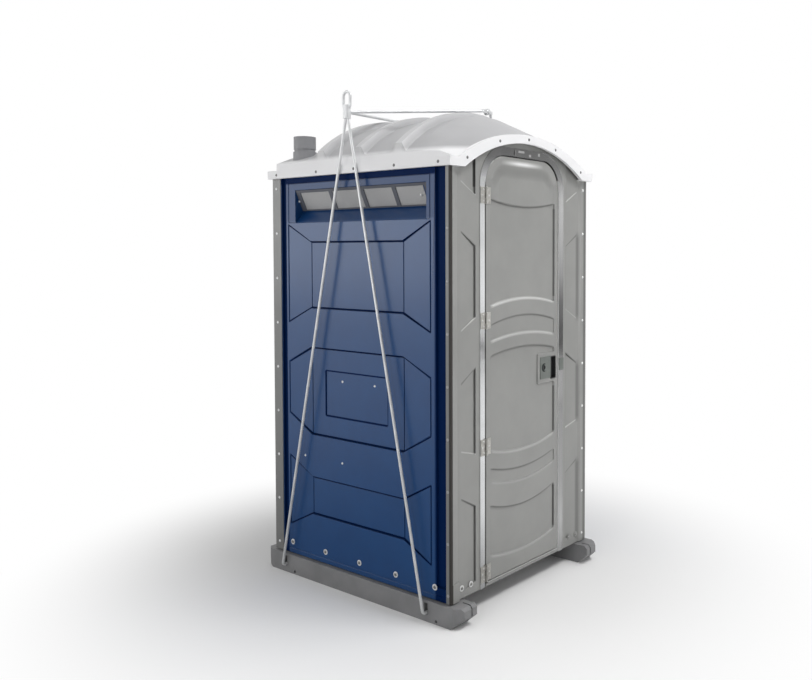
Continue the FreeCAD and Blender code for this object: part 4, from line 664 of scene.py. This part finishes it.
def shade_doorway():
    """Painted light: the lining's lip beside the lock and the sill under the door are pale and not
    metallic, lifting the shade of the gaps there.
    """
    tree = BRIGHT_TRIM.node_tree
    place = split_place(tree)
    across, height = place["X"], place["Z"]
    lip = both_masks(tree, band_mask(tree, across, *LIP_SIDES, soft=0.0005),
                     above_mask(tree, place["Y"], TRIM_FACE + 0.0005, soft=0.0005))
    sill = both_masks(tree, band_mask(tree, across, 0.001 - SILL_HALF, SILL_HALF - 0.001, soft=0.0005),
                      below_mask(tree, height, SILL_TOP + 0.0015, soft=0.0005))
    masked_tone(BRIGHT_TRIM, lip, LIP_PAINTED_LIGHT)
    masked_tone(BRIGHT_TRIM, sill, SILL_PAINTED_LIGHT)
    masked_value(BRIGHT_TRIM, "Metallic", any_mask(tree, (lip, sill)), outside=1.0, inside=0.0)


def mark_bracket():
    """Four pale spots shine on the header bracket."""
    tree = BRIGHT_TRIM.node_tree
    place = split_place(tree)
    on_bracket = below_mask(tree, place["Y"], TRIM_FACE - 0.0005, soft=0.0003)
    for left, right, low, high in BRACKET_SPOTS:
        spot = both_masks(tree, band_mask(tree, place["X"], left, right, soft=0.003),
                          band_mask(tree, place["Z"], low, high, soft=0.002))
        masked_tone(BRIGHT_TRIM, both_masks(tree, spot, on_bracket), SPOT_GREY)


def shade_hinge_gap():
    """Painted shade in the gap between the trim and the door's hinge side."""
    tree = BRIGHT_TRIM.node_tree
    place = split_place(tree)
    hinge_gap = both_masks(tree, band_mask(tree, place["X"], *HINGE_GAP_SIDES, soft=0.001),
                           below_mask(tree, place["Z"], HINGE_GAP_TOP, soft=0.02))
    masked_tone(BRIGHT_TRIM, hinge_gap, HINGE_GAP_SHADE)


# Shading of the latch
MARK_RADIUS = 0.0215
WINDOW_RADIUS = 0.0165
WINDOW_SHIFT = 0.0095
MARK_TONE = (0.012, 0.020, 0.018)


def mark_indicator():
    """The latch's engaged mark, a dark crescent round the window."""
    tree = LATCH_METAL.node_tree
    place = new_node(tree, "ShaderNodeTexCoord").outputs["Object"]
    flat = vector_step(tree, "MULTIPLY", place, (1.0, 0.0, 1.0))
    mark, window = (
        below_mask(tree, vector_step(tree, "DISTANCE", flat, (x, 0.0, SPINDLE_Z)), radius, soft=0.001)
        for x, radius in ((SPINDLE_X, MARK_RADIUS), (SPINDLE_X + WINDOW_SHIFT, WINDOW_RADIUS)))
    crescent = both_masks(tree, mark, calculated(tree, "SUBTRACT", 1.0, window))
    masked_tone(LATCH_METAL, crescent, MARK_TONE)


# Shading of the roof
RIM_DEPTH = 0.0205
CURB_TOP = 2.104
THICK_WHITE = (0.84, 0.84, 0.85)
RIB_MIDDLE = -0.008
RIB_PITCH = 0.265
RIB_HALF = 0.027
RIB_FOOT = 2.10
RIB_CROWN = 2.33
RIB_SHARE_AT_CROWN = 0.30
# painted highlight on the ribs
RIB_HIGHLIGHT_TONE = (0.62, 0.62, 0.63)


def lighten_ribs():
    """The vault's ribs get a painted highlight, strongest towards their feet."""
    tree = ROOF_SHEET.node_tree
    place = split_place(tree)
    crests = [band_mask(tree, place["Y"], middle - RIB_HALF, middle + RIB_HALF, soft=0.010)
              for middle in (RIB_MIDDLE - RIB_PITCH, RIB_MIDDLE, RIB_MIDDLE + RIB_PITCH)]
    towards_foot = ranged(tree, place["Z"], RIB_FOOT, RIB_CROWN, at_low=1.0, at_high=RIB_SHARE_AT_CROWN)
    masked_tone(ROOF_SHEET, both_masks(tree, any_mask(tree, crests), towards_foot), RIB_HIGHLIGHT_TONE)


def whiten_rim():
    """The roof's rim and curb carry the thick white sheet, the vault above is thinner and greyer."""
    tree = ROOF_SHEET.node_tree
    place = split_place(tree)
    ends = above_mask(tree, calculated(tree, "ABSOLUTE", place["Y"]), ROOF_END - RIM_DEPTH, soft=0.002)
    curb = below_mask(tree, place["Z"], CURB_TOP, soft=0.012)
    masked_tone(ROOF_SHEET, any_mask(tree, (ends, curb)), THICK_WHITE)


# Shading of the fasteners
SIDE_HEADS = WALL_FACE + 0.0025
FRONT_HEADS = TRIM_FACE + 0.0009
FRONT_FACE_END = -0.55
LEFT_CORNER_END = -0.5
CORNER_RIVET_GREY = 0.36
HEAD_GREY = (0.24, 0.24, 0.23)
PAINTED_BOLTS = (0.38, 0.50)
PAINTED_GREY = (0.262, 0.262, 0.255)


def dull_rivets():
    """The rivets down the front's left corner are dull."""
    tree = RIVET_METAL.node_tree
    place = split_place(tree)
    at_corner = both_masks(tree, below_mask(tree, place["X"], LEFT_CORNER_END, soft=0.01),
                           below_mask(tree, place["Y"], FRONT_FACE_END, soft=0.01))
    masked_tone(RIVET_METAL, at_corner, CORNER_RIVET_GREY)


def dull_bolts():
    """Wide washers are bright and bolt heads grey; two bolts on the front are painted over."""
    tree = BOLT_METAL.node_tree
    place = split_place(tree)
    aside = calculated(tree, "ABSOLUTE", place["X"])
    heads = any_mask(tree, (above_mask(tree, aside, SIDE_HEADS, soft=0.0002),
                            below_mask(tree, place["Y"], FRONT_HEADS, soft=0.0002)))
    painted = both_masks(tree, band_mask(tree, place["X"], *PAINTED_BOLTS, soft=0.01),
                         below_mask(tree, place["Y"], FRONT_FACE_END, soft=0.01))
    masked_tone(BOLT_METAL, heads, HEAD_GREY)
    masked_tone(BOLT_METAL, painted, PAINTED_GREY)
    masked_value(BOLT_METAL, "Metallic", painted, outside=0.35, inside=0.0)


shade_hollows()
darken_corners()
dull_rivets()
dull_bolts()
shade_strip_fields()
shade_right_post()
shade_ledges()
shade_door_bands()
shade_door_edges()
paint_trim_reflection()
shade_doorway()
mark_bracket()
shade_hinge_gap()
mark_indicator()
lighten_ribs()
whiten_rim()
cove_door_head()


# Finishes on the pieces
FINISHES = {
    "skid": SKID_PLASTIC, "floor": FLOOR_PLASTIC, "side_sheet": NAVY_SHEET, "end_sheet": GREY_SHEET,
    "roof_sheet": ROOF_SHEET, "vent_frame": VENT_PLASTIC, "mesh": INSECT_MESH, "bright_trim": BRIGHT_TRIM,
    "stack": STACK_PLASTIC, "hinge": HINGE_STEEL, "steel": ZINC, "latch": LATCH_METAL, "pull": DARK_PLASTIC,
    "dark_plastic": DARK_PLASTIC, "tank": TANK_PLASTIC, "seat": SEAT_PLASTIC, "urinal": TANK_PLASTIC,
    "hose": HOSE_RUBBER, "paper": PAPER, "galvanised": GALVANISED,
}
FASTENER_FINISHES = {"corner_rivets": RIVET_METAL, "wall_screws": RIVET_METAL, "base_bolts": BOLT_METAL,
                     "roof_screws": ROOF_SCREW_METAL}
for node_name, part in nodes.items():
    for slot in part.material_slots:
        slot.material = FASTENER_FINISHES.get(node_name, FINISHES[node_slots[node_name]])


# Softened copies of the moulded pieces
FLAT_ANGLE = math.radians(1.0)
SAME_PLANE = math.radians(0.4)
SEAM_ANGLE = math.radians(7.0)
SAME_PLACE = 0.00002
ALONG = 0.99
SIDEWAYS = 0.8
OUTER_SHARE = 0.7
INNER_SHARE = 0.15
WHOLE_FACES = 999
THROUGH_SHEET = Vector((0, 1, 0))
Rounding = namedtuple("Rounding", "width least_degrees through most_corners clamp",
                      defaults=(None, 4, True))
ROUNDINGS = {
    "wall_left": Rounding(0.0016, 1.2),
    "wall_right": Rounding(0.0016, 1.2),
    "front_panel": Rounding(0.006, 6.0, THROUGH_SHEET),
    "wall_rear": Rounding(0.006, 6.0, THROUGH_SHEET),
    "door": Rounding(0.006, 12.0, THROUGH_SHEET, WHOLE_FACES, False),
    "skid_left": Rounding(0.008, 20.0),
    "skid_right": Rounding(0.008, 20.0),
    "floor_pan": Rounding(0.002, 20.0),
    "holding_tank": Rounding(0.004, 20.0),
    "roof": Rounding(0.008, 14.0),
}


def run_of(edge):
    return (edge.verts[1].co - edge.verts[0].co).normalized()


def room_beside(edge):
    """The shortest real edge that leaves this one sideways, which bounds how wide it can be rounded."""
    shortest = 1.0
    for corner in edge.verts:
        for other in corner.link_edges:
            if other == edge or abs(other.calc_face_angle_signed(0.0)) < FLAT_ANGLE:
                continue
            if abs(run_of(edge).dot(run_of(other))) < SIDEWAYS:
                shortest = min(shortest, other.calc_length())
    return shortest


def merged(source, most_corners):
    """A node's triangles joined to whole faces, with the faces of many corners cut up again."""
    shape = bmesh.new()
    shape.from_mesh(source)
    bmesh.ops.remove_doubles(shape, verts=shape.verts, dist=SAME_PLACE)
    bmesh.ops.dissolve_limit(shape, angle_limit=SAME_PLANE, verts=shape.verts, edges=shape.edges)
    bmesh.ops.recalc_face_normals(shape, faces=shape.faces)
    wide_faces = [face for face in shape.faces if len(face.verts) > most_corners]
    bmesh.ops.triangulate(shape, faces=wide_faces, ngon_method="EAR_CLIP")
    return shape


def weigh_edges(shape, rounding):
    """Outer edges are rounded wide, inner ones tight; shallow steps stay crisp, curved outlines smooth."""
    weight = shape.edges.layers.float.new("bevel_weight_edge")
    through = rounding.through
    crisp_steps = through is not None and rounding.most_corners < WHOLE_FACES
    for edge in shape.edges:
        if len(edge.link_faces) != 2:
            continue
        turn = edge.calc_face_angle_signed(0.0)
        if through is not None and abs(turn) < SEAM_ANGLE and abs(run_of(edge).dot(through)) > ALONG:
            continue
        if abs(turn) > math.radians(rounding.least_degrees):
            share = OUTER_SHARE if turn > 0 else INNER_SHARE
            edge[weight] = min(1.0, share * room_beside(edge) / rounding.width)
        elif crisp_steps and abs(turn) > FLAT_ANGLE:
            edge.smooth = False


def shade_smooth(mesh):
    for face in mesh.polygons:
        face.use_smooth = True


def applied(raw):
    """The plain mesh that a raw piece's modifiers make of it; the raw piece goes."""
    bpy.context.view_layer.update()
    mesh = bpy.data.meshes.new_from_object(raw.evaluated_get(bpy.context.evaluated_depsgraph_get()))
    bpy.data.objects.remove(raw)
    return mesh


def mark_facing(mesh):
    """Keeps how far each corner of a piece faces up, for the shading of its ledges."""
    facing = mesh.attributes.new(FACING_UP, "FLOAT", "CORNER")
    facing.data.foreach_set("value", [normal.vector.z for normal in mesh.corner_normals])


def soften(node_name, rounding):
    """Replaces a node with a copy whose moulded edges are rounded."""
    mesh = nodes[node_name].data.copy()
    shape = merged(mesh, rounding.most_corners)
    weigh_edges(shape, rounding)
    shape.to_mesh(mesh)
    shape.free()
    mesh.materials.clear()
    mesh.materials.append(DOOR_SHEET if node_name == "door" else FINISHES[node_slots[node_name]])
    shade_smooth(mesh)
    raw = new_object("raw_" + node_name, mesh)
    bevel = raw.modifiers.new("round", "BEVEL")
    bevel.width = rounding.width
    bevel.segments = 3
    bevel.limit_method = "WEIGHT"
    bevel.use_clamp_overlap = rounding.clamp
    bevel.miter_outer = "MITER_ARC"
    normals = raw.modifiers.new("flat_faces", "WEIGHTED_NORMAL")
    normals.mode = "FACE_AREA"
    normals.weight = 80
    normals.keep_sharp = True
    done = applied(raw)
    mark_facing(done)
    piece = new_object("soft_" + node_name, done)
    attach(piece, node_bodies[node_name])
    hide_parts(node_name)


for node_name, rounding in ROUNDINGS.items():
    soften(node_name, rounding)


# Rivets at the ends of the vents' surrounds
VENT_RIVET_RADIUS = 0.0062
VENT_RIVET_X = WALL_FACE - 0.0275
VENT_RIVET_ENDS = (VENT_FRONT + 0.0541, VENT_BACK - 0.0003)
VENT_RIVET_HEIGHT = (VENT_FOOT + VENT_TOP) / 2 - 0.002


def make_rivet_tree():
    """Geometry nodes that set a round rivet on each point of a mesh."""
    tree = bpy.data.node_groups.new("rivets_on_points", "GeometryNodeTree")
    sockets = {}
    for label, way, kind in (("Points", "INPUT", "Geometry"), ("Radius", "INPUT", "Float"),
                             ("Finish", "INPUT", "Material"), ("Rivets", "OUTPUT", "Geometry")):
        sockets[label] = tree.interface.new_socket(name=label, in_out=way, socket_type="NodeSocket" + kind)
    entry = tree.nodes.new("NodeGroupInput").outputs
    rivet = new_node(tree, "GeometryNodeMeshUVSphere", in_Segments=16, in_Rings=8)
    smooth = new_node(tree, "GeometryNodeSetShadeSmooth")
    placed = new_node(tree, "GeometryNodeInstanceOnPoints")
    solid = new_node(tree, "GeometryNodeRealizeInstances")
    painted = new_node(tree, "GeometryNodeSetMaterial")
    leave = tree.nodes.new("NodeGroupOutput").inputs
    link = tree.links.new
    link(entry["Radius"], rivet.inputs["Radius"])
    link(rivet.outputs["Mesh"], smooth.inputs["Geometry"])
    link(entry["Points"], placed.inputs["Points"])
    link(smooth.outputs["Geometry"], placed.inputs["Instance"])
    link(placed.outputs["Instances"], solid.inputs["Geometry"])
    link(solid.outputs["Geometry"], painted.inputs["Geometry"])
    link(entry["Finish"], painted.inputs["Material"])
    link(painted.outputs["Geometry"], leave["Rivets"])
    return tree, sockets


def make_vent_rivets():
    """Two small rivets at the ends of each vent's surround."""
    places = [(x, y, VENT_RIVET_HEIGHT) for x in (-VENT_RIVET_X, VENT_RIVET_X) for y in VENT_RIVET_ENDS]
    points = bpy.data.meshes.new("rivet_points")
    points.from_pydata(places, [], [])
    raw = new_object("raw_vent_rivets", points)
    tree, sockets = make_rivet_tree()
    rivet_nodes = raw.modifiers.new("rivets", "NODES")
    rivet_nodes.node_group = tree
    rivet_nodes[sockets["Radius"].identifier] = VENT_RIVET_RADIUS
    rivet_nodes[sockets["Finish"].identifier] = RIVET_METAL
    rivets = new_object("vent_rivets", applied(raw))
    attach(rivets, node_bodies["wall_screws"])


make_vent_rivets()


# Studio
FLOOR_REACH = 60.0
FLOOR_WHITE = 0.93
FLOOR_FADE = (0.9, 2.2)
SHINE_REACH = 40.0
FAR_SHINE = ((0.03, 0.16), (0.055, 0.30), (0.11, 0.72), (0.22, 0.96))
DOOR_SHINE = ((0.0, 0.75), (0.19, 0.95), (0.22, 0.22), (0.36, 0.22), (0.42, 1.0))
DARK_SIDE = (-0.67, -0.74, 0.0)
DARK_SIDE_EDGE = (-0.25, 0.85)
STUDIO_SHINE = (0.86, 0.22)
DOOR_MIRROR = (0.76, -0.65, 0.0)
DOOR_MIRROR_EDGE = (0.6, 0.85)
DOOR_MIRROR_FOOT = (0.06, 0.13)
DOOR_MIRROR_DIMMING = 0.25
DOOR_FLOOR_EDGE = (0.0, 1.5)
AMBIENT = 0.36
LAMPS = (
    # name, place, aim, width, height, watts
    ("key", (0.6, -3.6, 6.0), (0, -0.5, 1.2), 2.4, 1.6, 158),
    ("side_bank", (-6.0, 4.6, 2.4), (-0.5, 0, 1.5), 5.0, 2.6, 90),
    ("left_fill", (-5.6, -1.2, 3.0), (-0.5, 0, 1.0), 1.6, 2.4, 36),
    ("front_fill", (2.0, -6.5, 1.4), (0, 0, 1.0), 4.0, 1.6, 60),
    ("streak", (3.5, -3.6, 5.8), (0, -0.6, 1.9), 1.8, 0.8, 50),
    ("overhead", (-0.6, 0.4, 6.0), (0, 0, 1.0), 2.4, 2.4, 26),
)


def mixed_shader(tree, share, first, second):
    mix = new_node(tree, "ShaderNodeMixShader")
    for entry, value in zip(mix.inputs, (share, first.outputs[0], second.outputs[0])):
        feed(tree, entry, value)
    return mix


def seen_share(tree, rays):
    """One where the camera looks straight or through glass."""
    return calculated(tree, "MAXIMUM", rays["Is Camera Ray"], rays["Is Transmission Ray"])


def make_floor():
    """A pale floor that keeps the shadow and fades to white away from the cabin."""
    mesh = bpy.data.meshes.new("floor")
    corners = [(x * FLOOR_REACH, y * FLOOR_REACH, 0) for x, y in ((-1, -1), (1, -1), (1, 1), (-1, 1))]
    mesh.from_pydata(corners, [], [(0, 1, 2, 3)])
    material = bpy.data.materials.new("floor_paint")
    material.use_nodes = True
    tree = material.node_tree
    tree.nodes.clear()
    paint = new_node(tree, "ShaderNodeBsdfDiffuse", in_Color=(FLOOR_WHITE, FLOOR_WHITE, FLOOR_WHITE, 1))
    white = new_node(tree, "ShaderNodeEmission", in_Color=(1, 1, 1, 1), in_Strength=1.0)
    mirrored = new_node(tree, "ShaderNodeEmission", in_Color=(1, 1, 1, 1))
    place = new_node(tree, "ShaderNodeTexCoord").outputs["Object"]
    rays = new_node(tree, "ShaderNodeLightPath").outputs
    length = vector_step(tree, "LENGTH", place)
    far_shine = shade_by_reach(tree, length, SHINE_REACH, FAR_SHINE)
    door_shine = shade_by_reach(tree, length, SHINE_REACH, DOOR_SHINE)
    at_door = ranged(tree, vector_step(tree, "DOT_PRODUCT", place, DOOR_MIRROR), *DOOR_FLOOR_EDGE)
    feed(tree, mirrored.inputs["Strength"], mixed(tree, at_door, far_shine, door_shine, "FLOAT"))
    fade = ranged(tree, length, *FLOOR_FADE, curve="SMOOTHSTEP")
    faded = mixed_shader(tree, both_masks(tree, seen_share(tree, rays), fade), paint, white)
    shown = mixed_shader(tree, rays["Is Glossy Ray"], faded, mirrored)
    out = new_node(tree, "ShaderNodeOutputMaterial")
    feed(tree, out.inputs["Surface"], shown.outputs[0])
    mesh.materials.append(material)
    new_object("floor", mesh)


def make_world():
    """Even light all round; what shines shows a white studio that is darker on two sides."""
    world = bpy.data.worlds.new("studio")
    scene.world = world
    world.use_nodes = True
    tree = world.node_tree
    tree.nodes.clear()
    dim = new_node(tree, "ShaderNodeBackground", in_Color=(1, 1, 1, 1), in_Strength=AMBIENT)
    mirrored = new_node(tree, "ShaderNodeBackground", in_Color=(1, 1, 1, 1))
    white = new_node(tree, "ShaderNodeBackground", in_Color=(1, 1, 1, 1), in_Strength=1.0)
    rays = new_node(tree, "ShaderNodeLightPath").outputs
    way = new_node(tree, "ShaderNodeTexCoord").outputs["Generated"]
    split = new_node(tree, "ShaderNodeSeparateXYZ")
    feed(tree, split.inputs["Vector"], way)
    shine = ranged(tree, vector_step(tree, "DOT_PRODUCT", way, DARK_SIDE), *DARK_SIDE_EDGE, *STUDIO_SHINE,
                   curve="SMOOTHSTEP")
    at_door = ranged(tree, vector_step(tree, "DOT_PRODUCT", way, DOOR_MIRROR), *DOOR_MIRROR_EDGE)
    above = ranged(tree, split.outputs["Z"], *DOOR_MIRROR_FOOT)
    dimmed = ranged(tree, both_masks(tree, at_door, above), 0.0, 1.0, 1.0, DOOR_MIRROR_DIMMING)
    feed(tree, mirrored.inputs["Strength"], calculated(tree, "MULTIPLY", shine, dimmed))
    lit = mixed_shader(tree, rays["Is Glossy Ray"], dim, mirrored)
    shown = mixed_shader(tree, seen_share(tree, rays), lit, white)
    out = new_node(tree, "ShaderNodeOutputWorld")
    feed(tree, out.inputs["Surface"], shown.outputs[0])


def soft_lamp(name, place, aim, width, height, watts):
    light = bpy.data.lights.new(name, "AREA")
    light.shape = "RECTANGLE"
    light.size = width
    light.size_y = height
    light.energy = watts
    lamp = new_object(name, light)
    lamp.location = place
    lamp.rotation_euler = (Vector(aim) - Vector(place)).to_track_quat("-Z", "Y").to_euler()


make_floor()
make_world()
for lamp in LAMPS:
    soft_lamp(*lamp)


# Camera, from the fit of the photograph's straight edges
IMAGE_WIDTH = 812
IMAGE_HEIGHT = 680
FOCAL_PIXELS = 857.5
CENTRE = (495.2, 284.2)
YAW = math.radians(52.08)
PITCH = math.radians(2.21)
EYE = (-3.347, -3.022, 1.648)
SENSOR = 36.0
camera_data = bpy.data.cameras.new("photo_camera")
camera_data.sensor_width = SENSOR
camera_data.lens = FOCAL_PIXELS / IMAGE_WIDTH * SENSOR
camera_data.shift_x = (IMAGE_WIDTH / 2 - CENTRE[0]) / IMAGE_WIDTH
camera_data.shift_y = (CENTRE[1] - IMAGE_HEIGHT / 2) / IMAGE_WIDTH
camera_data.clip_end = 200.0
camera = new_object("photo_camera", camera_data)
camera.location = EYE
camera.rotation_euler = (math.pi / 2 - PITCH, 0.0, -YAW)
scene.camera = camera
